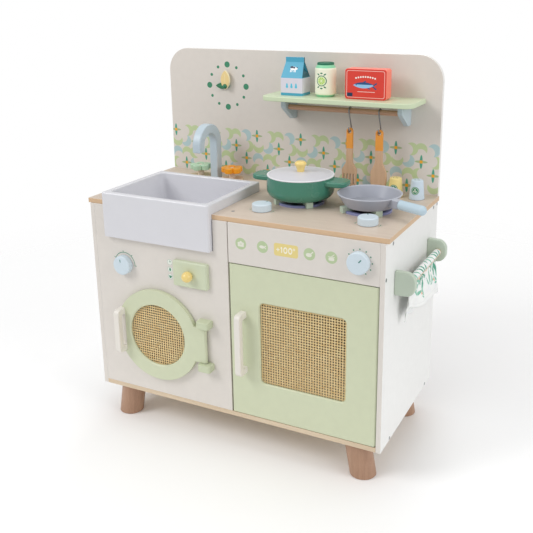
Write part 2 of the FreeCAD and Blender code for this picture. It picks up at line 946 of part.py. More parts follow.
def drawer_knob():
    # Ball on a neck, with a dowel that is glued into the drawer front.
    middle = ball_projection - ball_radius
    ball = Part.makeSphere(ball_radius, Vector(0, 0, middle))
    stem = turned([(0, -board, 0), (spindle_radius, -board, 0), (spindle_radius, 0, 0),
                   (ball_neck_radius, 0, 0), (ball_neck_radius, middle, 0), (0, middle, 0)],
                  (0, 0, 0))
    size = 2 * ball_radius
    below_face = block(-size, size, -size, size, -size, 0)
    shape = ball.cut(below_face).fuse(stem).removeSplitter()
    shape.rotate(Vector(0, 0, 0), Vector(1, 0, 0), 90)
    shape.translate(Vector(drawer_x, front_y - rest_gap - board, drawer_z))
    return shape


def drawer_housing():
    wall = drawer_housing_wall
    x0, x1 = drawer_slot_sides(drawer_clearance)
    z0, z1 = drawer_slot_levels(drawer_clearance)
    y1 = front_y + drawer_length + drawer_back_gap
    shell = block(x0 - wall, x1 + wall, panel_back_y, y1 + wall, z0 - wall, z1 + wall)
    return shell.cut(block(x0, x1, panel_back_y - overcut, y1, z0, z1))


# Hob and cookware

def burner_plates():
    plates = []
    for x in (left_burner_x, right_burner_x):
        profile = [(0, 0, 0), (burner_radius, 0, 0), (burner_radius, burner_height, burner_round),
                   (burner_pocket_radius, burner_height, edge_round),
                   (burner_pocket_radius, burner_floor, 0), (0, burner_floor, 0)]
        plates.append(turned(profile, (x, burner_y, top_z)))
    return plates


def burner_pads(plates):
    # Four stepped blocks round each burner; they reach over its ring and carry the pan.
    pads = []
    for x, plate in zip((left_burner_x, right_burner_x), plates):
        for i in range(burner_pad_count):
            pad = block(pad_inner, pad_outer, -pad_width / 2, pad_width / 2, 0, pad_height)
            pad = soften(pad, edge_round)
            under = block(pad_inner - overcut, burner_radius, -pad_width, pad_width,
                          -overcut, burner_height)
            pad = pad.cut(under)
            pad.rotate(Vector(0, 0, 0), Vector(0, 0, 1), 360 / burner_pad_count * (i + 0.5))
            pad.translate(Vector(x, burner_y, top_z))
            pads.append(pad.cut(plate))
    return group(pads)


def pot():
    inside = pot_radius - pot_wall
    profile = [(0, 0, 0), (pot_radius, 0, pot_foot_round), (pot_radius, pot_height, edge_round),
               (inside, pot_height, edge_round), (inside, pot_floor, pot_floor_round),
               (0, pot_floor, 0)]
    shell = turned(profile, (0, 0, 0))
    half = pot_lug_width / 2
    z1 = pot_height - pot_lug_drop
    for side in (-1, 1):
        root = side * (pot_radius - pot_lug_root)
        tip = side * pot_lug_reach
        corners = [(root, -half, 0), (tip, -half, pot_lug_corner), (tip, half, pot_lug_corner),
                   (root, half, 0)]
        lug = soften(plate_xy(corners, z1 - pot_lug_thickness, z1), pot_lug_round)
        shell = shell.fuse(lug.cut(rod(pot_radius - pot_lug_bite, 0, 0, 0, (0, 0, 1), pot_height)))
    shell.translate(Vector(pot_x, pot_y, pot_z))
    return shell


def pot_lid():
    # Domed disc with a spigot that sits inside the pot.
    inside = pot_radius - pot_wall - lid_fit
    rim = pot_radius - lid_fit
    place = on_xz(0)

    def at(r, z):
        return place(Vector(r, z, 0))

    edges = [
        Part.LineSegment(at(0, -lid_spigot), at(inside - lid_bevel, -lid_spigot)),
        Part.LineSegment(at(inside - lid_bevel, -lid_spigot), at(inside, lid_bevel - lid_spigot)),
        Part.LineSegment(at(inside, lid_bevel - lid_spigot), at(inside, 0)),
        Part.LineSegment(at(inside, 0), at(rim - lid_bevel, 0)),
        Part.Arc(at(rim - lid_bevel, 0), at(rim + 0.2 * lid_bevel, lid_rim / 2),
                 at(rim - lid_bevel, lid_rim)),
        Part.LineSegment(at(rim - lid_bevel, lid_rim), at(rim - lid_band, lid_rim - lid_groove)),
        Part.Arc(at(rim - lid_band, lid_rim - lid_groove), at(rim / 2, lid_height - lid_sag),
                 at(0, lid_height)),
        Part.LineSegment(at(0, lid_height), at(0, -lid_spigot))]
    face = Part.Face(Part.Wire([edge.toShape() for edge in edges]))
    lid = face.revolve(Vector(0, 0, 0), Vector(0, 0, 1), 360)
    socket = rod(spindle_radius, 0, 0, lid_height - lid_socket_depth, (0, 0, 1), lid_height)
    seat = rod(lid_neck_radius, 0, 0, lid_height - lid_seat_depth, (0, 0, 1), lid_height)
    lid = lid.cut([socket, seat])
    lid.translate(Vector(pot_x, pot_y, lid_z))
    return lid


def lid_knob():
    # Turned mushroom: a waisted neck that swells to a rounded head.
    top = lid_knob_height
    radius = lid_knob_radius
    place = on_xz(0)

    def at(r, z):
        return place(Vector(r, z, 0))

    neck = Part.BSplineCurve()
    neck.interpolate([at(lid_neck_radius, 0), at(1.03 * lid_neck_radius, 0.28 * top),
                      at(0.8 * radius, 0.5 * top), at(radius, 0.72 * top)])
    head = Part.Arc(at(radius, 0.72 * top), at(0.82 * radius, 0.93 * top), at(0.4 * radius, top))
    edges = [
        Part.LineSegment(at(0, -lid_tenon), at(spindle_radius, -lid_tenon)),
        Part.LineSegment(at(spindle_radius, -lid_tenon), at(spindle_radius, 0)),
        Part.LineSegment(at(spindle_radius, 0), at(lid_neck_radius, 0)),
        neck,
        head,
        Part.LineSegment(at(0.4 * radius, top), at(0, top)),
        Part.LineSegment(at(0, top), at(0, -lid_tenon))]
    face = Part.Face(Part.Wire([edge.toShape() for edge in edges]))
    knob_solid = face.revolve(Vector(0, 0, 0), Vector(0, 0, 1), 360)
    knob_solid.translate(Vector(pot_x, pot_y, lid_z + lid_height - lid_seat_depth))
    return knob_solid


def to_pan(shape):
    # Turns the handle's direction from +X and sets the piece down on the right burner.
    shape.rotate(Vector(0, 0, 0), Vector(0, 0, 1), pan_handle_angle)
    shape.translate(Vector(pan_x, pan_y, pot_z))
    return shape


def pan():
    inner_base = pan_base_radius - pan_wall + pan_socket_bite
    inner_rim = pan_rim_radius - pan_wall
    profile = [(0, 0, 0), (pan_base_radius, 0, pan_base_round),
               (pan_rim_radius, pan_height, pan_lip_round), (inner_rim, pan_height, pan_lip_round),
               (inner_base, pan_wall, pan_base_round), (0, pan_wall, 0)]
    bowl = turned(profile, (0, 0, 0))
    z1 = pan_height - pan_socket_drop
    half = pan_socket_size / 2
    socket = block(pan_rim_radius - pan_socket_root, pan_rim_radius + pan_socket_length,
                   -half, half, z1 - pan_socket_size, z1)
    socket = soften(socket, pan_socket_round)
    cone = Part.makeCone(inner_base + pan_socket_bite, inner_rim + pan_socket_bite,
                         pan_height, Vector(0, 0, 0))
    socket = socket.cut(cone)
    tenon_hole = rod(pan_tenon_radius, pan_rim_radius + pan_tenon_start, 0, z1 - half, (1, 0, 0),
                     pan_socket_length)
    return to_pan(bowl.fuse(socket).cut(tenon_hole))


def pan_handle():
    # Round wooden grip with a domed end and a tenon in the pan's socket.
    start = pan_rim_radius + pan_socket_length
    z = pan_height - pan_socket_drop - pan_socket_size / 2
    radius = pan_handle_radius
    body = rod(radius, start, 0, z, (1, 0, 0), pan_handle_end - start - radius)
    body = soften(body, 1.5 * edge_round, on_plane("X", start))
    dome = Part.makeSphere(radius, Vector(pan_handle_end - radius, 0, z))
    tenon = rod(pan_tenon_radius, pan_rim_radius + pan_tenon_start, 0, z, (1, 0, 0),
                pan_socket_length + pan_tenon_overlap)
    return to_pan(body.fuse([dome, tenon]).removeSplitter())


def shaker(x):
    top = shaker_height
    profile = [(0, 0, 0), (shaker_base_radius, 0, shaker_foot_round),
               (shaker_top_radius, top, shaker_top_round), (0, top, 0)]
    y = back_y - shaker_back_margin
    solid = turned(profile, (x, y, top_z + rest_gap))
    holes = []
    for i in range(shaker_hole_count):
        angle = 2 * math.pi * i / shaker_hole_count
        holes.append(rod(shaker_hole_radius, x + shaker_hole_ring * math.cos(angle),
                         y + shaker_hole_ring * math.sin(angle),
                         top_z + rest_gap + top - shaker_hole_depth, (0, 0, 1), top))
    return solid.cut(holes)


# Clock

def leaf(length, width, tail):
    # Pointed-oval hand outline along +Z with its hub at the origin.
    middle = (length - tail) / 2
    place = on_xz(0)

    def at(u, v):
        return place(Vector(u, v, 0))

    side = width / 2
    edges = [
        Part.Arc(at(0, -tail), at(side, middle), at(0, length)),
        Part.Arc(at(0, length), at(-side, middle), at(0, -tail))]
    return Part.Face(Part.Wire([edge.toShape() for edge in edges]))


def clock_hand(length, width, hub_radius, layer, turn):
    blade = leaf(length, width, hand_tail).extrude(Vector(0, -hand_thickness, 0))
    hub = rod(hub_radius, 0, 0, 0, (0, -1, 0), hand_thickness)
    hole = rod(screw_shank_radius + running_clearance, 0, overcut, 0, (0, -1, 0),
               hand_thickness + 2 * overcut)
    hand = blade.fuse(hub).removeSplitter()
    hand = soften(hand, hand_round, on_plane("Y", -hand_thickness)).cut(hole)
    hand.rotate(Vector(0, 0, 0), Vector(0, 1, 0), turn)
    hand.translate(Vector(clock_x, back_y - layer, clock_z))
    return hand


def clock_button():
    # Domed cap on the pivot screw that keeps both hands on.
    face_y = back_y - 2 * hand_thickness - 3 * hand_gap
    dome = Part.makeSphere(hand_hub_radius, Vector(clock_x, face_y, clock_z))
    size = 2 * hand_hub_radius
    dome = dome.common(block(clock_x - size, clock_x + size, face_y - size, face_y,
                             clock_z - size, clock_z + size))
    shank = rod(screw_shank_radius, clock_x, face_y - overcut, clock_z, (0, 1, 0),
                rear_y - face_y - overcut)
    return dome.fuse(shank)


# Shelf

def shelf_board():
    corners = [(shelf_x0, back_y, 0), (shelf_x1, back_y, 0),
               (shelf_x1, shelf_front_y, shelf_corner), (shelf_x0, shelf_front_y, shelf_corner)]
    return soften(plate_xy(corners, shelf_z, shelf_z + board), shelf_round,
                  lambda edge: edge.BoundBox.YMin < back_y - overcut
                  and edge.BoundBox.ZLength < tolerance)


def shelf_brackets():
    solids = []
    for x0 in (left_bracket_x, right_bracket_x):
        front = back_y - bracket_reach
        bottom = shelf_z - bracket_drop
        corners = [(back_y, shelf_z, 0), (front, shelf_z, 0),
                   (front, shelf_z - bracket_nose, bracket_nose_corner),
                   (back_y - bracket_nose, bottom, bracket_low_corner),
                   (back_y, bottom, bracket_heel_corner)]
        bracket = plate_yz(corners, x0, x0 + bracket_thickness)
        bracket = soften(bracket, bracket_round, lambda edge: edge.BoundBox.XLength < tolerance
                         and edge.BoundBox.ZMax < shelf_z - tolerance
                         and edge.BoundBox.YMax < back_y - tolerance)
        solids.append(bracket.cut(shelf_rail()))
    return group(solids)


def shelf_rail():
    start = left_bracket_x + bracket_thickness - rail_socket
    end = right_bracket_x + rail_socket
    return rod(rail_radius, start, rail_y, rail_z, (1, 0, 0), end - start)


# Hooks and utensils

def hook(x):
    # S-shaped wire: round the rail, slanting down, and round under the utensil's hole.
    upper = Vector(x, rail_y, rail_z)
    lower = Vector(x, rail_y, lower_bend_z)
    tangent = math.asin((hook_radius + lower_bend_radius) / hook_length)

    def at(centre, radius, angle):
        return centre + Vector(0, radius * math.cos(angle), radius * math.sin(angle))

    start = math.radians(hook_start_angle)
    leave = math.pi + tangent
    top = Part.Arc(at(upper, hook_radius, start), at(upper, hook_radius, (start + leave) / 2),
                   at(upper, hook_radius, leave))
    end = math.radians(hook_end_angle)
    bottom = Part.Arc(at(lower, lower_bend_radius, tangent),
                      at(lower, lower_bend_radius, (tangent + end) / 2),
                      at(lower, lower_bend_radius, end))
    middle = Part.LineSegment(at(upper, hook_radius, leave), at(lower, lower_bend_radius, tangent))
    path = Part.Wire([top.toShape(), middle.toShape(), bottom.toShape()])
    first = at(upper, hook_radius, start)
    along = Vector(0, -math.sin(start), math.cos(start))
    section = Part.Wire(Part.Circle(first, along, wire_radius).toShape())
    return path.makePipeShell([section], True, True)


def utensil_hole(x):
    return rod(utensil_hole_radius, x, rail_y - utensil_thickness, utensil_pivot_z, (0, 1, 0),
               2 * utensil_thickness)


def spatula():
    top = utensil_pivot_z + utensil_head
    bottom = top - utensil_length
    neck = bottom + spatula_blade_length
    half = spatula_handle_width / 2
    wide = spatula_blade_width / 2
    x = spatula_x
    narrow = neck + spatula_neck
    shoulder = neck - spatula_shoulder
    tip = wide - spatula_taper
    corners = [(x - half, top, 6.0), (x - half, narrow, 10.0), (x - wide, shoulder, 12.0),
               (x - tip, bottom, 4.0), (x + tip, bottom, 4.0), (x + wide, shoulder, 12.0),
               (x + half, narrow, 10.0), (x + half, top, 6.0)]
    shape = plate_xz(corners, rail_y - utensil_thickness / 2, rail_y + utensil_thickness / 2)
    shape = soften(shape, utensil_round, lambda edge: edge.BoundBox.YLength < tolerance)
    cuts = [utensil_hole(x)]
    pitch = 2 * slot_width
    slot_z = bottom + slot_margin
    for i in range(slot_count):
        slot_x = x + (i - (slot_count - 1) / 2) * pitch
        cuts.append(plate_xz(rectangle(slot_x - slot_width / 2, slot_x + slot_width / 2,
                                       slot_z, slot_z + slot_length, slot_corner),
                             rail_y - utensil_thickness, rail_y + utensil_thickness))
    return shape.cut(cuts)


def spoon():
    top = utensil_pivot_z + utensil_head
    bottom = top - utensil_length
    half = spoon_handle_width / 2
    wide = spoon_bowl_width / 2
    shoulder = bottom + spoon_bowl_length
    x = spoon_x
    narrow = shoulder + spoon_neck
    widest = shoulder - spoon_shoulder
    corners = [(x - half, top, 6.5), (x - half, narrow, 12.0), (x - wide, widest, 14.0),
               (x - wide, bottom, 15.0), (x + wide, bottom, 15.0),
               (x + wide, widest, 14.0), (x + half, narrow, 12.0), (x + half, top, 6.5)]
    shape = plate_xz(corners, rail_y - utensil_thickness / 2, rail_y + utensil_thickness / 2)
    shape = soften(shape, utensil_round, lambda edge: edge.BoundBox.YLength < tolerance)
    return shape.cut(utensil_hole(x))


# Food

def milk_carton():
    # Gable-top carton: square body, sloping roof and a standing fin.
    x0 = shelf_x0 + milk_shelf_margin
    x1 = x0 + milk_width
    y0 = food_y
    y1 = y0 + milk_depth
    middle = (y0 + y1) / 2
    eaves = food_z + milk_body
    ridge = eaves + milk_roof
    body = block(x0, x1, y0, y1, food_z, eaves)
    fin_x0, fin_x1 = x0 + milk_pinch, x1 - milk_pinch
    fin_y0, fin_y1 = middle - milk_fin_half, middle + milk_fin_half
    lower = outline(rectangle(x0, x1, y0, y1), on_xy(eaves))
    upper = outline(rectangle(fin_x0, fin_x1, fin_y0, fin_y1), on_xy(ridge))
    roof = Part.makeLoft([lower, upper], True, True)
    fin = block(fin_x0, fin_x1, fin_y0, fin_y1, ridge, ridge + milk_fin)
    carton = body.fuse([roof, fin]).removeSplitter()
    folds = []
    for edge_x, side in ((x0, -1), (x1, 1)):
        inner = edge_x - side * milk_fold_depth
        outer = edge_x + side * overcut
        tip = ridge - 1.5
        wedge = Part.makePolygon([Vector(outer, middle - 1.6, tip), Vector(outer, middle + 1.6, tip),
                                  Vector(outer, y1 - 5.0, eaves + 5), Vector(outer, y0 + 5.0, eaves + 5),
                                  Vector(outer, middle - 1.6, tip)])
        pocket = Part.makeLoft([wedge, Part.makePolygon([
            Vector(inner, middle - 1.4, tip), Vector(inner, middle + 1.4, tip),
            Vector(inner, middle + 2.2, tip - 6), Vector(inner, middle - 2.2, tip - 6),
            Vector(inner, middle - 1.4, tip)])], True, True)
        folds.append(pocket)
    return carton.cut(folds)


def drink_can():
    top = can_height
    neck = can_neck_radius
    rim = neck - can_rim_wall
    lid = top - can_rim_depth
    profile = [(0, 0, 0), (neck, 0, 1.0), (can_radius, can_foot, 3.0),
               (can_radius, top - can_shoulder, 5.0), (neck, top - can_rim, 1.0),
               (neck, top, 0.8), (rim, top, 0), (rim, lid, 0), (0, lid, 0)]
    centre = (shelf_x0 + can_shelf_margin, food_y + can_setback, food_z)
    return turned(profile, centre)


def fish_tin():
    x0 = shelf_x0 + tin_shelf_margin
    corners = rectangle(x0, x0 + tin_width, food_z, food_z + tin_height, tin_corner)
    return soften(plate_xz(corners, food_y, food_y + tin_depth), tin_round,
                  lambda edge: edge.BoundBox.YLength < tolerance)


# Towel bar

def towel_brackets():
    solids = []
    z0 = towel_bar_z + towel_bracket_rise - towel_bracket_height / 2
    z1 = z0 + towel_bracket_height
    for y in (towel_front_y, towel_back_y):
        x1 = half_outer + towel_bracket_reach
        low, high = z0 + towel_bracket_slope, z1 - towel_bracket_slope
        corners = [(half_outer, z0, towel_bracket_foot_corner), (x1, low, towel_bracket_corner),
                   (x1, high, towel_bracket_corner), (half_outer, z1, towel_bracket_foot_corner)]
        bracket = plate_xz(corners, y - towel_bracket_thickness / 2,
                           y + towel_bracket_thickness / 2)
        past_foot = half_outer + towel_bracket_foot_corner + overcut
        bracket = soften(bracket, towel_bracket_round, lambda edge: edge.BoundBox.XMax > past_foot
                         and edge.BoundBox.YLength < tolerance)
        solids.append(bracket.cut(towel_bar()))
    return group(solids)


def towel_bar():
    start = towel_front_y + towel_bracket_thickness / 2 - rail_socket
    end = towel_back_y - towel_bracket_thickness / 2 + rail_socket
    return rod(towel_bar_radius, towel_bar_x, start, towel_bar_z, (0, 1, 0), end - start)


def towel():
    # Sheet of cloth hung over the bar: a half-ring with a long outer and a shorter inner fall.
    y0 = towel_bracket_shift - towel_width / 2
    inner = towel_bar_radius + towel_clearance
    outer = inner + towel_thickness
    ring = rod(outer, towel_bar_x, y0, towel_bar_z, (0, 1, 0), towel_width)
    ring = ring.cut(rod(inner, towel_bar_x, y0 - overcut, towel_bar_z, (0, 1, 0),
                        towel_width + 2 * overcut))
    ring = ring.common(block(towel_bar_x - outer, towel_bar_x + outer, y0, y0 + towel_width,
                             towel_bar_z, towel_bar_z + outer))
    outer_fall = block(towel_bar_x + inner, towel_bar_x + outer, y0, y0 + towel_width,
                       towel_bar_z - towel_outer_drop, towel_bar_z)
    inner_fall = block(towel_bar_x - outer, towel_bar_x - inner, y0, y0 + towel_width,
                       towel_bar_z - towel_inner_drop, towel_bar_z)
    return ring.fuse([outer_fall, inner_fall]).removeSplitter()


# Screws

def screw(x, y, z, direction):
    # Countersunk head flush with the face at (x, y, z), driven along direction.
    head = Part.makeCone(screw_head_radius, screw_shank_radius, screw_head_depth,
                         Vector(x, y, z), Vector(*direction))
    shank = rod(screw_shank_radius, x, y, z, direction, screw_length)
    return head.fuse(shank).removeSplitter()


def screws():
    placed = []
    level = under_z - batten_size / 2
    bottom = body_z + board / 2
    for side in (-1, 1):
        for y, z in ((screw_front_margin - back_y, level), (back_y - screw_back_margin, level),
                     (back_y + board / 2, level + splash_screw_rise),
                     (front_y + board / 2, control_z0 + panel_screw_rise),
                     (low_screw_front_margin - back_y, bottom),
                     (back_y - low_screw_back_margin, bottom)):
            placed.append(screw(side * half_outer, y, z, (-side, 0, 0)))
    placed.append(screw((divider_x0 + divider_x1) / 2, worktop_screw_margin - back_y, top_z, (0, 0, -1)))
    return placed


def build():
    fixings = screws()
    plates = burner_plates()
    food = {"milk_carton": milk_carton(), "drink_can": drink_can(), "fish_tin": fish_tin()}
    carcass = {
        "worktop": worktop(),
        "left_side_panel": side_panel(-half_outer, -half_inner),
        "right_side_panel": side_panel(half_outer, half_inner),
        "bottom_panel": bottom_panel(),
        "divider_panel": block(divider_x0, divider_x1, panel_back_y, back_y, floor_z, under_z),
        "washer_front_panel": washer_front_panel(),
        "control_panel": control_panel(),
        "cabinet_back_panel": block(-half_inner, half_inner, back_y, rear_y, body_z, under_z),
        "backsplash_panel": backsplash_panel(),
        "battens": battens(),
    }
    for name in carcass:
        carcass[name] = carcass[name].cut(fixings)
    carcass["backsplash_panel"] = carcass["backsplash_panel"].cut(clock_button())
    return {
        **carcass,
        **food,
        "legs": legs(),
        "screws": group(fixings + [clock_button()]),
        "sink_basin": sink_basin(),
        "tap": tap(),
        "tap_discs": tap_discs(),
        "left_tap_handle": flower(left_handle_x),
        "left_tap_stem": tap_stem(left_handle_x),
        "right_tap_handle": flower(right_handle_x),
        "right_tap_stem": tap_stem(right_handle_x),
        "washer_knob": knob(washer_knob_radius, knob_depth + 1,
                            (washer_knob_x, front_y, washer_knob_z), True),
        "oven_knob": knob(oven_knob_radius, knob_depth,
                          (oven_knob_x, front_y, oven_knob_z), True),
        "left_hob_knob": knob(hob_knob_radius, hob_knob_height,
                              (left_hob_knob_x, hob_knob_y, top_z)),
        "right_hob_knob": knob(hob_knob_radius, hob_knob_height,
                               (right_hob_knob_x, hob_knob_y, top_z)),
        "oven_door_panel": oven_door_panel(),
        "oven_door_cane": oven_door_cane(),
        "oven_door_handle": oven_door_handle(),
        "washer_door_panel": washer_door_panel(),
        "washer_door_cane": washer_door_cane(),
        "washer_door_handle": washer_door_handle(),
        "washer_hinge_blocks": washer_hinge_blocks(),
        "hinge_pins": hinge_pins(),
        "door_magnets": door_magnets(),
        "drawer_front": drawer_front(),
        "drawer_box": drawer_box(),
        "drawer_knob": drawer_knob(),
        "drawer_housing": drawer_housing(),
        "burner_plates": group(plates),
        "burner_pads": burner_pads(plates),
        "pot": pot(),
        "pot_lid": pot_lid(),
        "lid_knob": lid_knob(),
        "pan": pan(),
        "pan_handle": pan_handle(),
        "salt_shaker": shaker(half_outer + worktop_overhang - shaker_right_margin
                              - shaker_spacing),
        "pepper_shaker": shaker(half_outer + worktop_overhang - shaker_right_margin),
        "clock_short_hand": clock_hand(short_hand, short_hand_width, hand_hub_radius,
                                       hand_gap, -90),
        "clock_long_hand": clock_hand(long_hand, long_hand_width, hand_hub_radius,
                                      2 * hand_gap + hand_thickness, 0),
        "shelf_board": shelf_board(),
        "shelf_brackets": shelf_brackets(),
        "shelf_rail": shelf_rail(),
        "spatula_hook": hook(spatula_x),
        "spoon_hook": hook(spoon_x),
        "spatula": spatula(),
        "spoon": spoon(),
        "towel_brackets": towel_brackets(),
        "towel_bar": towel_bar(),
        "towel": towel(),
    }


def centred(nodes):
    # Moves every piece so that the origin is the middle of the whole kitchen's footprint.
    bounds = [shape.optimalBoundingBox(False, False) for shape in nodes.values()]
    middle_x = (min(b.XMin for b in bounds) + max(b.XMax for b in bounds)) / 2
    middle_y = (min(b.YMin for b in bounds) + max(b.YMax for b in bounds)) / 2
    shift = Vector(-middle_x, -middle_y, 0)
    for shape in nodes.values():
        shape.translate(shift)
    return shift


nodes = build()
origin_shift = centred(nodes)
os.makedirs("parts", exist_ok=True)
for name, shape in nodes.items():
    shape.exportStep("parts/" + name + ".step")
print(len(nodes), "nodes, origin moved by", origin_shift)
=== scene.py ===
import json
import math
import random

import bmesh
import bpy
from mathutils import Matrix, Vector


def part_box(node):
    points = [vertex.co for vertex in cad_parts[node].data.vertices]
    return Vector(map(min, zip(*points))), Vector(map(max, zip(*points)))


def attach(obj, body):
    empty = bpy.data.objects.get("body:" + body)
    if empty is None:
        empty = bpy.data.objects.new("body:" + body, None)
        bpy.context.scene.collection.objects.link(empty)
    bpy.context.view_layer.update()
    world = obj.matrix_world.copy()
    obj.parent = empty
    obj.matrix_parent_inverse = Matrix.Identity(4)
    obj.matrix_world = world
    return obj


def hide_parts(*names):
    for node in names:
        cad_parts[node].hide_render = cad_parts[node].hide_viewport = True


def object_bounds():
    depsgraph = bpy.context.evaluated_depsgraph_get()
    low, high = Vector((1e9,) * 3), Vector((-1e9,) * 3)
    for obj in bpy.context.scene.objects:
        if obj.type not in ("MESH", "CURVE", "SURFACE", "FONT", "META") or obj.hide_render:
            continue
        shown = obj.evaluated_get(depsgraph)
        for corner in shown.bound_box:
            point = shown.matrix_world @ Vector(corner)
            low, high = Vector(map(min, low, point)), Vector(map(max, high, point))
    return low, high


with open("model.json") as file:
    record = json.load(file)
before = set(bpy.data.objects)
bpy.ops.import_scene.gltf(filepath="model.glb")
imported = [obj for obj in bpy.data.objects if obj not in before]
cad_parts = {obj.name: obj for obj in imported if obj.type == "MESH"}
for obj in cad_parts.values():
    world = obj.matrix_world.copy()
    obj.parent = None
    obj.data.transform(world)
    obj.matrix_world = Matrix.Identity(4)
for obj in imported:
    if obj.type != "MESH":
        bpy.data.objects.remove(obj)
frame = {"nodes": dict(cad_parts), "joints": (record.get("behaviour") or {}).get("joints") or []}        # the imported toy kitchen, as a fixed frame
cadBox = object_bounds()
nodes = frame["nodes"]
pivots = {j["name"]: Vector(j["pos_m"]) * 1000 for j in frame["joints"] if "pos_m" in j}
print("frame loaded:", len(nodes), "nodes")


def box(node):  # lowest and highest corner, in millimetres
    low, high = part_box(node)
    return low * 1000, high * 1000


def middle(node):
    low, high = box(node)
    return (low + high) / 2


def tint(red, green, blue):  # display colour to scene colour
    def linear(c):
        c = c / 255
        return c / 12.92 if c <= 0.04045 else ((c + 0.055) / 1.055) ** 2.4
    return (linear(red), linear(green), linear(blue), 1)


# Shader maths: a Value is one socket, and Python's operators add the Math nodes

class Value:
    def __init__(self, finish, socket):
        self.finish = finish
        self.socket = socket

    def maths(self, operation, first, second=0, third=0, clamped=False):
        settings = {"operation": operation, "use_clamp": clamped}
        return self.finish.add("ShaderNodeMath", settings, {0: first, 1: second, 2: third})

    def __add__(self, other):
        return self.maths("ADD", self, other)

    def __radd__(self, other):
        return self.maths("ADD", other, self)

    def __sub__(self, other):
        return self.maths("SUBTRACT", self, other)

    def __rsub__(self, other):
        return self.maths("SUBTRACT", other, self)

    def __mul__(self, other):
        return self.maths("MULTIPLY", self, other)

    def __rmul__(self, other):
        return self.maths("MULTIPLY", other, self)

    def __truediv__(self, other):
        return self.maths("DIVIDE", self, other)

    def __neg__(self):
        return self.maths("MULTIPLY", self, -1)

    def clamp(self):
        return self.maths("ADD", self, 0, clamped=True)

    def size(self):
        return self.maths("ABSOLUTE", self)

    def root(self):
        return self.maths("SQRT", self)

    def most(self, other):
        return self.maths("MAXIMUM", self, other)

    def least(self, other):
        return self.maths("MINIMUM", self, other)

    def wrap(self, low, high):
        return self.maths("WRAP", self, high, low)

    def bearing(self, up):  # degrees clockwise from straight up
        return self.maths("ARCTAN2", self, up) * (180 / math.pi)


class Finish:
    # One material: add() makes any node, shade() makes the surface
    def __init__(self, name):
        self.material = bpy.data.materials.new(name)
        self.material.use_nodes = True
        self.tree = self.material.node_tree
        self.tree.nodes.clear()
        self.cache = {}

    def fill(self, socket, value):
        if isinstance(value, Value):
            self.tree.links.new(value.socket, socket)
        elif socket.type == "RGBA" and len(value) == 3:
            socket.default_value = (*value, 1)
        else:
            socket.default_value = value

    def add(self, kind, settings=None, inputs=None, output=0):
        node = self.tree.nodes.new(kind)
        for key, value in (settings or {}).items():
            if key == "stops":
                ramp = node.color_ramp
                while len(ramp.elements) < len(value):
                    ramp.elements.new(0.5)
                for element, (position, colour) in zip(ramp.elements, value):
                    element.position = position
                    element.color = colour
            else:
                setattr(node, key, value)
        for key, value in (inputs or {}).items():
            self.fill(node.inputs[key], value)
        return Value(self, node.outputs[output])

    def point(self):  # place on the piece, in millimetres
        if "point" not in self.cache:
            spot = self.add("ShaderNodeTexCoord", None, None, "Object")
            self.cache["point"] = self.add("ShaderNodeVectorMath", {"operation": "SCALE"},
                                           {0: spot, "Scale": 1000})
        return self.cache["point"]

    def parts(self, vector):
        first = self.add("ShaderNodeSeparateXYZ", None, {0: vector})
        outputs = first.socket.node.outputs
        return [first, Value(self, outputs[1]), Value(self, outputs[2])]

    def place(self):
        if "place" not in self.cache:
            self.cache["place"] = self.parts(self.point())
        return self.cache["place"]

    def frontal(self):  # x and z, for what is drawn on a front
        return self.place()[0], self.place()[2]

    def facing(self):  # the surface's direction on the piece
        if "facing" not in self.cache:
            self.cache["facing"] = self.parts(self.add("ShaderNodeTexCoord", None, None, "Normal"))
        return self.cache["facing"]

    def stretched(self, stretch):
        return self.add("ShaderNodeVectorMath", {"operation": "MULTIPLY"},
                        {0: self.point(), 1: stretch})

    def noise(self, size, detail=3, stretch=(1, 1, 1), rough=0.5, distortion=0):
        vector = self.stretched([s / size for s in stretch])
        return self.add("ShaderNodeTexNoise", {"noise_dimensions": "3D"},
                        {"Vector": vector, "Scale": 1, "Detail": detail, "Roughness": rough,
                         "Distortion": distortion})

    def mix(self, mask, below, above):
        return self.add("ShaderNodeMix", {"data_type": "RGBA"}, {0: mask, 6: below, 7: above}, 2)

    def shaded(self, colour, amount):  # lighten or darken by a value around 1
        return self.add("ShaderNodeHueSaturation", None, {"Value": amount, "Color": colour})

    def ramp(self, value, stops):
        return self.add("ShaderNodeValToRGB", {"stops": stops}, {"Fac": value})

    def bump(self, height, distance, strength=0.5):
        return self.add("ShaderNodeBump", None,
                        {"Height": height, "Distance": distance / 1000, "Strength": strength})

    def shade(self, **inputs):
        node = self.tree.nodes.new("ShaderNodeBsdfPrincipled")
        for key, value in inputs.items():
            self.fill(node.inputs[key.replace("_", " ")], value)
        output = self.tree.nodes.new("ShaderNodeOutputMaterial")
        self.tree.links.new(node.outputs[0], output.inputs["Surface"])
        return self.material


# Print shapes, drawn with distances in millimetres: each is 1 inside and 0 outside

def within(distance, soft=0.35):
    return (0.5 - distance / soft).clamp()


def span(u, v):
    return (u * u + v * v).root()


def spot(u, v, radius):
    return within(span(u, v) - radius)


def slab(u, v, wide, high, corner=0.3):  # rounded rectangle, from its half sizes
    across = (u.size() - (wide - corner)).most(0)
    along = (v.size() - (high - corner)).most(0)
    return within(span(across, along) - corner)


def oval(u, v, wide, high):
    return within((span(u / wide, v / high) - 1) * min(wide, high))


def leaf(u, v, wide, high):  # pointed at both ends: two equal discs overlap
    radius = (wide * wide + high * high) / (2 * wide)
    return within(span(u.size() + (radius - wide), v) - radius)


def spun(u, v, degrees):  # the same place in a frame turned clockwise
    c, s = math.cos(math.radians(degrees)), math.sin(math.radians(degrees))
    return u * c - v * s, u * s + v * c


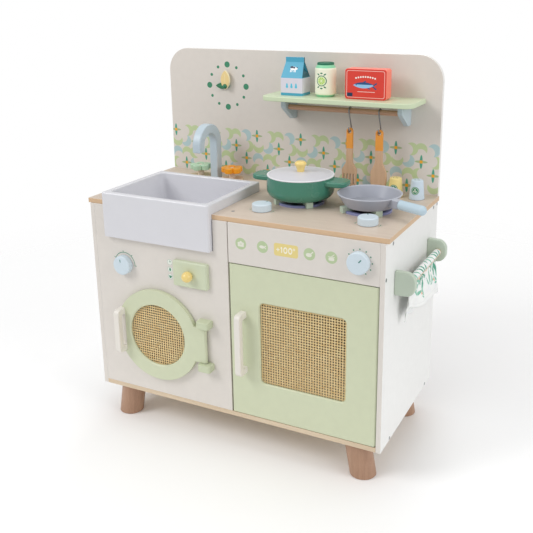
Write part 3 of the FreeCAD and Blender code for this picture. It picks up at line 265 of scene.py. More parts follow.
def stroke(u, v, x0, z0, x1, z1, thick):  # a straight line with round ends
    length = math.hypot(x1 - x0, z1 - z0)
    ru, rv = (x1 - x0) / length, (z1 - z0) / length
    along = (u - x0) * ru + (v - z0) * rv
    across = (u - x0) * -rv + (v - z0) * ru
    beyond = (-along).most(along - length).most(0)
    return within(span(beyond, across) - thick / 2)


def arc(u, v, radius, start, end, thick):  # angles run clockwise from straight up
    reach = (end - start) / 2
    away = (u.bearing(v) - (start + reach)).wrap(-180, 180)
    return within((span(u, v) - radius).size() - thick / 2) * within(away.size() - reach, 1)


def layered(finish, colour, prints):
    for mask, ink in prints:
        colour = finish.mix(mask, colour, ink)
    return colour


def ring(u, v, wide, high, thick):  # an outline with the given half sizes
    return within((span(u / wide, v / high) - 1).size() * min(wide, high) - thick / 2)


def either(masks):
    joined = masks[0]
    for mask in masks[1:]:
        joined = joined.most(mask)
    return joined


# Finishes

def painted(name, colour, prints=None, gloss=0.4, peel=0.03, edge=None, coat=0.0):
    # sprayed board or turned wood: faint mottling and a fine orange peel
    finish = Finish(name)
    mottle = finish.noise(14, 3) - 0.5
    if edge:
        colour = finish.mix(edge[0](finish), colour, edge[1])
    if prints:
        colour = layered(finish, colour, prints(finish))
    colour = finish.shaded(colour, 1 + mottle * 0.07)
    height = finish.noise(1.1, 2)
    return finish.shade(Base_Color=colour, Roughness=gloss + mottle * 0.12, Coat_Weight=coat,
                        Normal=finish.bump(height, peel))


def wooden(name, light, dark, along, streak=4.0, gloss=0.48, prints=None, contrast=2.2, edge=None):
    finish = Finish(name)
    stretch = [0.05 if axis == along else 1 for axis in "XYZ"]
    broad = finish.noise(streak * 3, 3, stretch, 0.55, 0.8)
    fine = finish.noise(streak / 4, 4, stretch, 0.65)
    pores = finish.noise(streak / 7, 2, [s * (2 if s < 1 else 1) for s in stretch])
    grain = ((broad * 0.55 + fine * 0.45 - 0.5) * contrast + 0.5).clamp()
    colour = finish.mix(grain, light, dark)
    if edge:
        colour = finish.mix(edge[0](finish), colour, edge[1])
    if prints:
        colour = layered(finish, colour, prints(finish))
    dents = ((pores - 0.62) * 6).clamp()
    return finish.shade(Base_Color=finish.shaded(colour, 1 - dents * 0.12),
                        Roughness=gloss + (fine - 0.5) * 0.25,
                        Normal=finish.bump(fine * 0.6 - dents * 0.4, 0.06))


def metal(name, colour, gloss, brushed="Z"):
    finish = Finish(name)
    stretch = [0.05 if axis == brushed else 1 for axis in "XYZ"]
    lines = finish.noise(0.5, 3, stretch)
    tarnish = finish.noise(6, 3) - 0.5
    return finish.shade(Base_Color=finish.shaded(colour, 1 + tarnish * 0.15), Metallic=1.0,
                        Roughness=gloss + (lines - 0.5) * 0.15,
                        Normal=finish.bump(lines, 0.01, 0.3))


def moulded(name, colour, gloss=0.22, prints=None, coat=0.0, ripple=0.04):
    # glossy plastic or thick enamel, with the slow ripple of a moulding
    finish = Finish(name)
    slow = finish.noise(22, 2) - 0.5
    if prints:
        colour = layered(finish, colour, prints(finish))
    return finish.shade(Base_Color=finish.shaded(colour, 1 + slow * 0.04),
                        Roughness=gloss + slow * 0.08, Coat_Weight=coat,
                        Normal=finish.bump(finish.noise(5, 2), ripple, 0.4))


def dress(material, *names):
    for name in names:
        mesh = nodes[name].data
        mesh.materials.clear()
        mesh.materials.append(material)


def topFace(finish):  # 1 where the surface looks up
    return ((finish.facing()[2] - 0.6) * 5).clamp()


def frontFace(finish):  # 1 where the surface looks to the front
    return ((-finish.facing()[1] - 0.6) * 5).clamp()


def sideFace(finish):
    return ((finish.facing()[0].size() - 0.6) * 5).clamp()


# Cabinet boards

boards = {
    "worktopLight": tint(221, 206, 191), "worktopDark": tint(199, 182, 165),
    "worktopEdge": tint(213, 181, 146), "front": tint(222, 216, 209),
    "side": tint(240, 240, 238), "rawLight": tint(226, 208, 182), "rawDark": tint(205, 182, 152),
    "inner": tint(206, 192, 172), "legLight": tint(186, 150, 124), "legDark": tint(154, 116, 92),
    "hardLight": tint(118, 88, 64), "hardDark": tint(92, 66, 46), "ink": tint(52, 132, 100),
}


def hobArcs(finish):  # little arcs and ticks at both sides of each hob knob
    x, y = finish.place()[:2]
    marks = []
    for name in ("left_hob_knob_turn", "right_hob_knob_turn"):
        u, v = x - pivots[name].x, y - pivots[name].y
        for angle in (-90, 90):
            marks.append(arc(u, v, 21.5, angle - 17, angle + 17, 0.9))
            ru, rv = spun(u, v, angle)
            marks.append(stroke(ru, rv, 0, 21.5, 0, 25.5, 0.9))
    return [(either(marks) * topFace(finish), boards["ink"])]


def boardEdges():
    dress(wooden("worktopOak", boards["worktopLight"], boards["worktopDark"], "X", 3.2, 0.4,
                 hobArcs, 1.5, (lambda f: 1 - topFace(f), boards["worktopEdge"])), "worktop")
    dress(painted("sideWhite", boards["side"], None, 0.42, 0.03,
                  (lambda f: 1 - sideFace(f), boards["front"])),
          "left_side_panel", "right_side_panel")
    dress(wooden("rawBoard", boards["rawLight"], boards["rawDark"], "X", 3.0), "bottom_panel")
    dress(wooden("innerBoard", boards["inner"], boards["rawDark"], "Z", 3.5), "divider_panel")
    dress(wooden("hardboard", boards["hardLight"], boards["hardDark"], "Z", 2.0, 0.6),
          "cabinet_back_panel")
    dress(wooden("innerBattens", boards["rawLight"], boards["rawDark"], "X", 3.0),
          "battens", "drawer_box", "drawer_housing")
    dress(wooden("beechLegs", boards["legLight"], boards["legDark"], "Z", 3.0, 0.42), "legs")


boardEdges()
print("cabinet boards finished")

# Washing machine front and its dial scale

washer = {"arc": 23.0, "arcFrom": -64, "arcTo": 92, "ticks": (-64, -6, 42, 92), "line": 1.3,
          "iconOut": 11.6, "iconGap": 14.0, "iconSize": 5.2, "ink": tint(60, 140, 110),
          "iconWhite": tint(232, 236, 228)}


def washerPrint(finish):
    x, z = finish.frontal()
    dial = pivots["washer_knob_turn"]
    u, v = x - dial.x, z - dial.z
    scale = [arc(u, v, washer["arc"], washer["arcFrom"], washer["arcTo"], washer["line"])]
    for angle in washer["ticks"]:
        ru, rv = spun(u, v, angle)
        scale.append(stroke(ru, rv, 0, washer["arc"], 0, washer["arc"] + 3.2, washer["line"]))
    low, high = box("drawer_front")
    iu = x - (low.x - washer["iconOut"])
    iv = z - (low.z + high.z) / 2 - 1.5
    plates, symbols = [], []
    for step in (1, 0, -1):
        sv = iv - step * washer["iconGap"]
        plates.append(spot(iu, sv, washer["iconSize"]))
        symbols.append(ring(iu, sv, washer["iconSize"], washer["iconSize"], 0.5) * 0.55)
        if step == 1:  # hands of a timer
            symbols.append(stroke(iu, sv, 0, 0, 0, 3, 0.9))
            symbols.append(stroke(iu, sv, 0, 0, 2.2, 1.4, 0.9))
        elif step == 0:  # a drop
            symbols.append(spot(iu, sv + 0.9, 2.1))
            symbols.append(leaf(iu, sv - 0.6, 1.5, 3.4))
        else:  # a folded shirt
            symbols.append(slab(iu, sv + 0.6, 1.9, 2.4))
            symbols.append(stroke(iu, sv, -2.9, 0.7, 2.9, 0.7, 1.9))
    faced = frontFace(finish)
    return [(either(plates) * faced, washer["iconWhite"]),
            (either(scale + symbols) * faced, washer["ink"])]


dress(painted("washerFront", boards["front"], washerPrint), "washer_front_panel")

# Control panel: cooking symbols, a display, and dots round the oven dial

control = {"icons": (-219.0, -176.6, -88.7, -49.2), "iconSize": 10.6, "iconGreen": tint(184, 202, 160),
           "glyph": tint(228, 228, 214), "displayAt": -132.0, "displayWide": 22.6,
           "displayHigh": 11.3, "display": tint(230, 211, 138), "digits": tint(246, 242, 226),
           "dotRing": 21.6, "dot": 1.25, "dots": range(-60, 151, 30)}


def pictogram(u, v, kind):
    if kind == 0:  # fruit in a bowl
        shapes = [spot(u + 4, v - 0.6, 2.4), spot(u, v - 2.4, 2.6), spot(u - 4, v - 0.6, 2.4),
                  slab(u, v + 3.2, 6.0, 2.1, 1.4)]
    elif kind == 1:  # fish
        shapes = [oval(u + 1, v, 5.0, 2.8), stroke(u, v, 3.4, 0, 6.2, 2.3, 1.7),
                  stroke(u, v, 3.4, 0, 6.2, -2.3, 1.7)]
    elif kind == 2:  # roast
        shapes = [oval(u + 1, v + 1.5, 5.4, 3.5), stroke(u, v, 1.5, 0, 5.6, 3.6, 1.7),
                  spot(u - 5.8, v - 3.8, 1.3)]
    else:  # bowl and spoon
        shapes = [slab(u, v + 2.8, 5.2, 2.8, 2.6), stroke(u, v, -5.4, 1.0, 5.4, 1.0, 1.2),
                  stroke(u, v, 0.6, 2, 5.0, 5.6, 1.2)]
    return either(shapes)


def controlPrint(finish):
    x, z = finish.frontal()
    dial = pivots["oven_knob_turn"]
    v = z - dial.z
    rounds, glyphs, dots = [], [], []
    for kind, offset in enumerate(control["icons"]):
        u = x - (dial.x + offset)
        rounds.append(spot(u, v, control["iconSize"]))
        glyphs.append(pictogram(u, v, kind))
    du = x - (dial.x + control["displayAt"])
    window = slab(du, v, control["displayWide"], control["displayHigh"], 4.0)
    digits = [stroke(du, v, -17.5, 0, -12.5, 0, 1.5), stroke(du, v, -15, -2.5, -15, 2.5, 1.5),
              stroke(du, v, -8, -4.4, -8, 4.4, 1.7), stroke(du, v, -9.6, 3.2, -8, 4.4, 1.5),
              ring(du + 1, v, 3.0, 4.6, 1.6), ring(du - 8, v, 3.0, 4.6, 1.6),
              ring(du - 15, v - 3.4, 1.6, 1.6, 1.0)]
    for angle in control["dots"]:
        s, c = math.sin(math.radians(angle)), math.cos(math.radians(angle))
        dots.append(spot(x - dial.x - control["dotRing"] * s, v - control["dotRing"] * c,
                         control["dot"]))
    faced = frontFace(finish)
    return [(either(rounds) * faced, control["iconGreen"]), (either(glyphs) * faced, control["glyph"]),
            (window * faced, control["display"]), (either(digits) * faced, control["digits"]),
            (either(dots) * faced, washer["ink"])]


dress(painted("controlFront", boards["front"], controlPrint), "control_panel")
print("printed fronts finished")

# Backsplash: tile print and clock face

tiles = {
    "period": 100.0, "face": tint(220, 213, 205), "edge": tint(238, 236, 232),
    "green": tint(193, 208, 160), "blue": tint(178, 203, 205),
    "petal": tint(84, 163, 136), "sage": tint(166, 186, 142), "heart": tint(240, 170, 40),
    "size": 12.2, "bite": 1.35,
    # rows from the top: height, flower place, then each crescent's place, ink and bite
    "rows": (
        (85.4, 11.6, ((43, "green", -6.5, -1.5), (61, "green", 0, -7.5), (86, "blue", -7, -4))),
        (62.0, 62.0, ((91, "green", -6.5, 1.5), (15, "green", 0, 7.5), (37, "blue", -6, 5.5))),
        (37.0, 86.0, ((37, "green", 0, -7.5), (57, "green", 6.5, 1.5), (13, "blue", 2, -7.5))),
        (14.0, 35.4, ((88, "green", 0, 7.5), (9, "green", 6.5, -1.5), (57, "blue", 5.5, 6))),
    ),
}
clock = {"ring": 43.5, "big": 6.2, "small": 3.1, "ink": tint(62, 138, 104)}


def tilePrint(finish):
    x, z = finish.frontal()
    surface = box("worktop")[1].z
    u, v = x - middle("backsplash_panel").x, z - surface
    half = tiles["period"] / 2
    inks = {"green": [], "blue": []}
    petals, sages, hearts = [], [], []
    for height, flower, crescents in tiles["rows"]:
        rv = v - height
        for place, ink, biteX, biteZ in crescents:
            ru = (u - place).wrap(-half, half)
            bite = spot(ru - biteX * tiles["bite"], rv - biteZ * tiles["bite"], tiles["size"] * 0.92)
            inks[ink].append(spot(ru, rv, tiles["size"]) * (1 - bite))
        ru = (u - flower).wrap(-half, half)
        petals.append(oval(ru, rv, 2.8, 13.4))
        sages.append(oval(ru, rv, 12.4, 2.5))
        hearts.append(slab(ru, rv, 2.9, 2.9, 0.9))
    dial = pivots["long_hand_turn"]
    dots = []
    for hour in range(12):
        s, c = math.sin(math.radians(30 * hour)), math.cos(math.radians(30 * hour))
        dots.append(spot(x - dial.x - clock["ring"] * s, z - dial.z - clock["ring"] * c,
                         clock["small"] if hour % 3 else clock["big"]))
    faced = frontFace(finish)
    tiled = faced * within(v - 98)
    return [(either(inks["green"]) * tiled, tiles["green"]), (either(inks["blue"]) * tiled, tiles["blue"]),
            (either(sages) * tiled, tiles["sage"]), (either(petals) * tiled, tiles["petal"]),
            (either(hearts) * tiled, tiles["heart"]), (either(dots) * faced, clock["ink"])]


dress(painted("tiledBoard", tiles["face"], tilePrint, 0.45, 0.03,
              (lambda f: 1 - frontFace(f), tiles["edge"])), "backsplash_panel")
print("backsplash finished")

# Doors, handles, drawer and dials

paints = {
    "door": tint(207, 213, 183), "hinge": tint(200, 208, 177), "drawer": tint(206, 214, 186),
    "cream": tint(230, 225, 217), "yellow": tint(240, 212, 132), "dial": tint(208, 222, 231),
    "mark": tint(50, 125, 115), "mint": tint(180, 212, 182), "orange": tint(248, 164, 36),
    "tap": tint(190, 205, 214), "shelf": tint(206, 220, 186), "bracket": tint(188, 203, 210),
    "pads": tint(192, 208, 190), "towelBracket": tint(194, 207, 190),
}


def dialMark(pivot, angle, start, end, faced, upright):
    def prints(finish):
        x, y, z = finish.place()
        centre = pivots[pivot]
        u, v = (x - centre.x, y - centre.y) if upright else (x - centre.x, z - centre.z)
        ru, rv = spun(u, v, angle)
        mark = stroke(ru, rv, 0, start, 0, end, 2.0) * faced(finish)
        return [(mark, paints["mark"])]
    return prints


def dressDials():
    marks = {"washer_knob": ("washer_knob_turn", -8, 7.5, 11.5, frontFace, False),
             "oven_knob": ("oven_knob_turn", 42, 4.5, 9.5, frontFace, False),
             "left_hob_knob": ("left_hob_knob_turn", 20, 10.5, 15, topFace, True),
             "right_hob_knob": ("right_hob_knob_turn", -22, 10.5, 15, topFace, True)}
    for knob, mark in marks.items():
        dress(painted(knob + "Paint", paints["dial"], dialMark(*mark), 0.36), knob)


dressDials()
dress(painted("doorGreen", paints["door"], None, 0.4), "oven_door_panel", "washer_door_panel")
dress(painted("hingeGreen", paints["hinge"]), "washer_hinge_blocks")
dress(painted("drawerGreen", paints["drawer"]), "drawer_front")
dress(painted("handleCream", paints["cream"], None, 0.38), "oven_door_handle", "washer_door_handle")
dress(painted("knobYellow", paints["yellow"], None, 0.3, 0.02, None, 0.3), "drawer_knob", "lid_knob")
dress(painted("padMint", paints["pads"]), "burner_pads")
dress(painted("tapBlue", paints["tap"], None, 0.36), "tap")
dress(painted("flowerMint", paints["mint"], None, 0.34), "left_tap_handle")
dress(painted("flowerOrange", paints["orange"], None, 0.3), "right_tap_handle")
dress(wooden("stemWood", tint(240, 226, 212), tint(222, 203, 184), "Z", 2.0),
      "left_tap_stem", "right_tap_stem")
dress(wooden("discWood", tint(226, 205, 176), tint(203, 178, 146), "X", 2.4), "tap_discs")
dress(painted("shelfGreen", paints["shelf"], None, 0.34), "shelf_board")
dress(painted("bracketBlue", paints["bracket"]), "shelf_brackets")
dress(wooden("railBeech", tint(206, 166, 138), tint(182, 140, 112), "X", 2.4), "shelf_rail")
dress(painted("towelBracketGreen", paints["towelBracket"], None, 0.38), "towel_brackets")
dress(wooden("towelBarWood", tint(226, 200, 168), tint(205, 176, 142), "Y", 2.4), "towel_bar")
dress(metal("hookSteel", tint(150, 150, 152), 0.28, "Z"), "spatula_hook", "spoon_hook")
dress(metal("pinSteel", tint(96, 96, 100), 0.34, "Z"), "hinge_pins")
dress(moulded("catchPlastic", tint(222, 220, 214), 0.45), "door_magnets")
dress(moulded("sinkWhite", tint(219, 219, 224), 0.24, None, 0.15, 0.05), "sink_basin")
print("paint finished")


def capInk(finish):  # the green cap over the clock's hands
    x, y, z = finish.place()
    dial = pivots["long_hand_turn"]
    return spot(x - dial.x, z - dial.z, 7.5) * within(y - box("backsplash_panel")[0].y - 2)


def screwFinish():
    finish = Finish("screwsAndCap")
    cap = capInk(finish)
    wear = finish.noise(1.5, 3) - 0.5
    colour = finish.mix(cap, tint(150, 150, 155), tint(45, 120, 85))
    return finish.shade(Base_Color=finish.shaded(colour, 1 + wear * 0.1), Metallic=1 - cap,
                        Roughness=0.34 - cap * 0.2 + wear * 0.1)


dress(screwFinish(), "screws")

# Hob and cookware

cook = {
    "plate": tint(134, 138, 180), "well": tint(34, 35, 60), "pot": tint(68, 130, 109),
    "lid": tint(212, 212, 218), "lidRim": tint(234, 234, 238), "pan": tint(166, 169, 180),
    "panRim": tint(186, 190, 200), "grip": tint(188, 209, 221),
    # widths of the plate rim, lid rim, pan rim and handle socket
    "plateRim": 8.4, "lidEdge": 3.0, "panEdge": 1.6, "socket": 7.5,
}


def plateWell(finish):  # dark middle of each ring plate
    x, y = finish.place()[:2]
    low, high = box("burner_plates")
    radius = (high.y - low.y) / 2
    wells = []
    for cx in (low.x + radius, high.x - radius):
        wells.append(spot(x - cx, y - (low.y + high.y) / 2, radius - cook["plateRim"]))
    return [(either(wells), cook["well"])]


def lidRing(finish):  # brighter rim of the lid
    x, y = finish.place()[:2]
    centre, radius = middle("pot_lid"), (box("pot_lid")[1].x - box("pot_lid")[0].x) / 2
    return [(1 - spot(x - centre.x, y - centre.y, radius - cook["lidEdge"]), cook["lidRim"])]


def panRing(finish):  # lighter rolled rim of the pan
    z = finish.place()[2]
    return [(within(box("pan")[1].z - cook["panEdge"] - z, 0.8), cook["panRim"])]


def gripSocket(finish):  # grey socket where the handle meets the pan
    socketEnd = box("pan_handle")[0].x + cook["socket"]
    return [(within(finish.place()[0] - socketEnd, 0.6), cook["pan"])]


dress(moulded("ringSlate", cook["plate"], 0.4, plateWell), "burner_plates")
dress(moulded("potGreen", cook["pot"], 0.26, None, 0.2, 0.03), "pot")
dress(moulded("lidWhite", cook["lid"], 0.38, lidRing), "pot_lid")
dress(moulded("panGrey", cook["pan"], 0.34, panRing), "pan")
dress(moulded("gripBlue", cook["grip"], 0.36, gripSocket), "pan_handle")

# Shakers

shaker = {"emblem": 7.4, "hole": 1.2, "holeRing": 4.4, "green": tint(54, 138, 108),
          "line": tint(226, 232, 214), "dark": tint(60, 66, 70)}


def shakerPrint(name, kind):
    def prints(finish):
        x, y, z = finish.place()
        low, high = box(name)
        centre = (low + high) / 2
        u, v = x - centre.x, z - centre.z + 0.5
        line = [ring(u, v, 5.9, 5.9, 0.8)]
        if kind == "grain":  # three grains
            line += [oval(*spun(u - du, v - dv, turn), 1.1, 2.0)
                     for du, dv, turn in ((0, 2.0, 0), (-2.1, -1.4, -40), (2.1, -1.4, 40))]
        else:  # three little berries
            line += [spot(u - du, v - dv, 1.5) for du, dv in ((0, 2.0), (-1.9, -1.3), (1.9, -1.3))]
        faced = within(y - centre.y + 2, 1)
        # dark dots on the top: painted shade where the unlit insides of the holes would show
        shadedHoles = [spot(x - centre.x - shaker["holeRing"] * math.sin(turn),
                      y - centre.y - shaker["holeRing"] * math.cos(turn), shaker["hole"])
                 for turn in (0, 2.09, 4.19)]
        return [(spot(u, v, shaker["emblem"]) * faced, shaker["green"]),
                (either(line) * faced, shaker["line"]),
                (either(shadedHoles) * topFace(finish), shaker["dark"])]
    return prints


dress(painted("saltYellow", tint(248, 226, 150), shakerPrint("salt_shaker", "grain"), 0.34),
      "salt_shaker")
dress(painted("pepperBlue", tint(206, 222, 234), shakerPrint("pepper_shaker", "berry"), 0.34),
      "pepper_shaker")

# Clock hands: leaves with a pale vein

clockHands = {"yellow": tint(238, 212, 148), "yellowEdge": tint(250, 238, 196),
              "green": tint(52, 122, 86), "greenEdge": tint(84, 150, 116)}


def handVein(pivot, ink, upright):
    def prints(finish):
        x, z = finish.frontal()
        centre = pivots[pivot]
        u, v = (x - centre.x, z - centre.z) if upright else (z - centre.z, centre.x - x)
        return [(stroke(u, v, 0, 6, 0, 24 if upright else 19, 0.7) * frontFace(finish), ink),
                (1 - frontFace(finish), ink)]
    return prints


dress(painted("handYellow", clockHands["yellow"],
              handVein("long_hand_turn", clockHands["yellowEdge"], True)), "clock_long_hand")
dress(painted("handGreen", clockHands["green"],
              handVein("short_hand_turn", clockHands["greenEdge"], False), 0.32), "clock_short_hand")

# Spatula and spoon: beech with a dipped orange handle

utensils = {"light": tint(222, 188, 156), "dark": tint(196, 158, 126), "dip": tint(236, 156, 62),
            "dipLength": 39.0}


def dipped(name):
    def prints(finish):
        top = box(name)[1].z
        return [(within(top - utensils["dipLength"] - finish.place()[2], 0.6), utensils["dip"])]
    return prints


for utensil in ("spatula", "spoon"):
    dress(wooden(utensil + "Beech", utensils["light"], utensils["dark"], "Z", 2.2, 0.5,
                 dipped(utensil), 1.8), utensil)
print("cookware, shakers, clock hands and utensils finished")

# Milk carton, drink can and fish tin

carton = {"blue": tint(74, 166, 196), "band": tint(222, 218, 230),
          "bandFrom": 5.0, "bandTo": 33.0, "white": tint(245, 245, 245), "dark": tint(36, 44, 74),
          # fold: painted shade for the recessed fold-in gable on both roof sides
          "drop": tint(88, 196, 226), "fold": tint(30, 96, 112)}


def cartonPrint(finish):
    x, z = finish.frontal()
    low, high = box("milk_carton")
    u, v = x - (low.x + high.x) / 2, z - low.z
    band = within(carton["bandFrom"] - v) * within(v - carton["bandTo"])
    drops = []
    for place in (-9.5, 0, 9.5):
        drops.append(spot(u - place, v - 16.5, 2.6))
        drops.append(leaf(u - place, v - 19.2, 1.9, 4.6))
    cv = v - 50.5  # a little cow on the roof
    body = [oval(u, cv, 6.2, 3.2), slab(u - 6.6, cv + 0.6, 2.0, 1.8, 1.2),
            stroke(u, cv, -4.6, -1, -5.0, -6.2, 1.7), stroke(u, cv, -2.2, -1.5, -2.0, -6.0, 1.5),
            stroke(u, cv, 2.6, -1.5, 2.4, -6.0, 1.5), stroke(u, cv, 4.6, -1, 5.0, -6.2, 1.7)]
    patches = [oval(u + 3.6, cv - 2.0, 3.4, 2.0), oval(u - 1.4, cv - 1.2, 2.2, 1.6),
               spot(u - 7.6, cv - 1.6, 1.1)]
    front = ((-finish.facing()[1] - 0.4) * 5).clamp()
    # both roof sides above the band are painted darker teal: painted shade for the recessed fold-in gable
    roofSideShade = sideFace(finish) * within(carton["bandTo"] + 1.0 - v)
    return [(band, carton["band"]), (either(drops) * front, carton["drop"]),
            (either(body) * front, carton["white"]), (either(patches) * front, carton["dark"]),
            (roofSideShade, carton["fold"])]


dress(painted("cartonPaint", carton["blue"], cartonPrint, 0.4), "milk_carton")

can = {"cream": tint(244, 244, 222), "mint": tint(140, 214, 170), "neck": tint(22, 112, 82),
       "lime": tint(176, 214, 92), "rind": tint(36, 120, 84), "pith": tint(236, 244, 208),
       "base": 4.0, "shoulder": 9.5, "neckFrom": 4.0, "slice": 9.2, "sliceAt": 30.5,
       "rib": 6.4}


def canPrint(finish):
    x, y, z = finish.place()
    low, high = box("drink_can")
    cx, cy = (low.x + high.x) / 2, (low.y + high.y) / 2
    u, v = x - cx, z - low.z - can["sliceAt"]
    height = high.z - low.z
    bare = z - low.z
    front = within(y - cy + 1, 1)
    mint = within(bare - can["base"]).most(within(height - can["shoulder"] - bare))
    neck = within(height - can["neckFrom"] - bare)
    rind = ring(u, v, can["slice"], can["slice"], 1.6)
    pulp = spot(u, v, can["slice"] - 2.4)
    ribs = []
    for turn in (0, math.pi / 4, math.pi / 2, 3 * math.pi / 4):
        s, c = can["rib"] * math.sin(turn), can["rib"] * math.cos(turn)
        ribs.append(stroke(u, v, -s, -c, s, c, 0.8))
    sprigs = []
    for side in (-1, 1):
        for place, turn in ((-6.5, -58), (0, -90), (6.5, -122)):
            lu, lv = spun(u - place, v - side * (14.0 - abs(place) * 0.35), turn * side)
            sprigs.append(leaf(lu, lv, 1.3, 3.0))
    return [(mint, can["mint"]), (neck, can["neck"]),
            (either([rind] + sprigs) * front, can["rind"]),
            (spot(u, v, can["slice"] - 0.9) * front, can["pith"]), (pulp * front, can["lime"]),
            (either(ribs) * front, can["pith"])]


dress(painted("canPaint", can["cream"], canPrint, 0.36), "drink_can")

tin = {"red": tint(222, 62, 48), "side": tint(255, 132, 112), "line": tint(255, 214, 204),
       "deep": tint(34, 78, 128), "pale": tint(150, 198, 236), "navy": tint(24, 50, 84),
       "white": tint(252, 244, 238), "inset": 3.2}


def tinPrint(finish):
    x, z = finish.frontal()
    low, high = box("fish_tin")
    wide, tall = (high.x - low.x) / 2, (high.z - low.z) / 2
    u, v = x - (low.x + wide), z - (low.z + tall)
    outer = slab(u, v, wide - tin["inset"], tall - tin["inset"], 4.0)
    inner = slab(u, v, wide - tin["inset"] - 0.8, tall - tin["inset"] - 0.8, 3.4)
    body = leaf(v + 2.0, u + 4.0, 5.2, 20.0)
    back = leaf(v - 0.2, u + 3.5, 3.6, 18.0) * within(-(v + 0.6), 1)
    tail = [stroke(u, v, 14, -2.5, 21, 2.0, 2.6), stroke(u, v, 14, -3.5, 20, -8.0, 2.6),
            stroke(u, v, -5, 2.5, 0, 5.4, 2.4), stroke(u, v, 4, -6, 8, -8, 2.0)]
    words = []  # a plain row of beads and a thin rule stand where the lettering was
    for step in range(-4, 5):
        words.append(spot(u - step * 4.6, v - 13.6 + abs(step) ** 2 * 0.16, 1.6))
    rule = stroke(u, v, -15, -13.6, 18, -13.6, 0.7)
    tag = slab(u + wide - 9.6, v + tall - 8.4, 5.6, 3.4, 0.4)
    front = frontFace(finish)
    eye = spot(u + 18, v + 1.4, 0.9)
    return [(1 - front, tin["side"]), (outer * (1 - inner) * front, tin["line"]),
            (either(words + [rule]) * front, tin["white"]), (either(tail) * front, tin["deep"]),
            (body * front, tin["pale"]), (back * front, tin["deep"]),
            (either([tag, eye]) * front, tin["navy"])]


dress(painted("tinPaint", tin["red"], tinPrint, 0.38), "fish_tin")
print("food boxes finished")

# Woven cane in both doors: paired strands up and across, and single strands on the diagonals

cane = {"pitch": 5.0, "pair": 0.5, "strand": 0.86, "slant": 0.6, "thick": 0.26, "weave": 0.2, "behind": 0.36,
        "light": tint(255, 234, 184), "dark": tint(236, 198, 132), "stain": tint(160, 112, 58)}


def caneFinish():
    finish = Finish("caneStraw")
    patch = finish.noise(4.5, 3) - 0.5
    fibre = finish.noise(0.9, 3) - 0.5
    colour = finish.mix((patch * 2.2 + fibre * 1.2 + 0.34).clamp(), cane["light"], cane["dark"])
    stain = ((finish.noise(2.2, 2) - 0.68) * 8).clamp()
    colour = finish.mix(stain * 0.5, colour, cane["stain"])
    return finish.shade(Base_Color=colour, Roughness=0.42 + fibre * 0.3,
                        Normal=finish.bump(finish.noise(0.5, 2), 0.04))


def caneStrand(mesh, inside, place, along, steps, pitch, woven, wide):
    # one flat crowned strand through a place, kept to where inside() holds
    across = (along[1], -along[0])
    stations = []
    for step in range(-steps, steps + 1):
        t = step * pitch
        u, v = place[0] + along[0] * t, place[1] + along[1] * t
        if inside(u, v):
            stations.append((u, v, woven(step)))
    if len(stations) < 2:
        return
    half, thick = wide / 2, cane["thick"] / 2
    profile = ((-half, -thick), (-half * 0.5, thick), (half * 0.5, thick), (half, -thick))
    rings = []
    for u, v, lift in stations:
        rings.append([mesh.verts.new((u + across[0] * w, v + across[1] * w, lift + h))
                      for w, h in profile])
    for before, after in zip(rings, rings[1:]):
        for corner in range(4):
            follow = (corner + 1) % 4
            mesh.faces.new((before[corner], after[corner], after[follow], before[follow]))
    mesh.faces.new(rings[0])
    mesh.faces.new(list(reversed(rings[-1])))


def caneSheet(name, node, body, inside, material):
    low, high = box(node)
    centre = (low + high) / 2
    pitch, pair = cane["pitch"], cane["pair"]
    count = int((high - low).length / pitch / 2) + 1
    mesh = bmesh.new()
    for line in range(-count, count + 1):
        for strand in (0, 1):
            offset = line * pitch + (strand * 2 - 1) * pair

            def lift(step, turn=line + strand):  # over one pair and under the next
                return 0 if step % 2 else cane["weave"] * (1 if (step // 2 + turn) % 2 else -1)

            def under(step, lift=lift):
                return -lift(step)

            caneStrand(mesh, inside, (offset, 0), (0, 1), count * 2, pitch / 2, lift,
                       cane["strand"])
            caneStrand(mesh, inside, (0, offset), (1, 0), count * 2, pitch / 2, under,
                       cane["strand"])
    slope = math.sqrt(0.5)
    for line in range(-2 * count, 2 * count + 1):
        offset = (line + 0.5) * pitch
        for direction, depth in ((1, -cane["behind"]), (-1, cane["behind"])):
            caneStrand(mesh, inside, (offset / 2, -offset * direction / 2), (slope, slope * direction),
                       count * 3, pitch * slope / 2, lambda step, d=depth: d, cane["slant"])
    for vert in mesh.verts:
        u, v, lifted = vert.co
        vert.co = Vector((centre.x + u, centre.y - lifted, centre.z + v)) / 1000
    bmesh.ops.recalc_face_normals(mesh, faces=mesh.faces)
    data = bpy.data.meshes.new(name)
    mesh.to_mesh(data)
    mesh.free()
    for face in data.polygons:
        face.use_smooth = True
    data.materials.append(material)
    piece = bpy.data.objects.new(name, data)
    bpy.context.scene.collection.objects.link(piece)
    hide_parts(node)
    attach(piece, body)
    print(name, "woven:", len(data.polygons), "faces")
    return piece


def weaveDoors():
    straw = caneFinish()
    low, high = box("washer_door_cane")
    radius = (high.x - low.x) / 2 - 0.4
    caneSheet("washer_cane_weave", "washer_door_cane", "washer_door",
              lambda u, v: math.hypot(u, v) < radius, straw)
    low, high = box("oven_door_cane")
    wide, tall, corner = (high.x - low.x) / 2 - 0.4, (high.z - low.z) / 2 - 0.4, 13.5

    def inWindow(u, v):
        du, dv = max(abs(u) - wide + corner, 0), max(abs(v) - tall + corner, 0)
        return math.hypot(du, dv) < corner
    caneSheet("oven_cane_weave", "oven_door_cane", "oven_door", inWindow, straw)


weaveDoors()

# Towel: a cotton sheet hung over the bar by cloth simulation

towel = {"width": 166.0, "length": 276.0, "innerFall": 118.0, "across": 56, "down": 92,
         "thick": 0.9, "ease": 0.9, "seed": 7, "frames": 36,
         "cotton": tint(246, 247, 245), "leaf": tint(134, 196, 172), "deepLeaf": tint(92, 168, 142),
         "stem": tint(176, 206, 178), "spot": tint(246, 158, 104), "shadow": tint(232, 234, 240),
         "hem": 7.0}


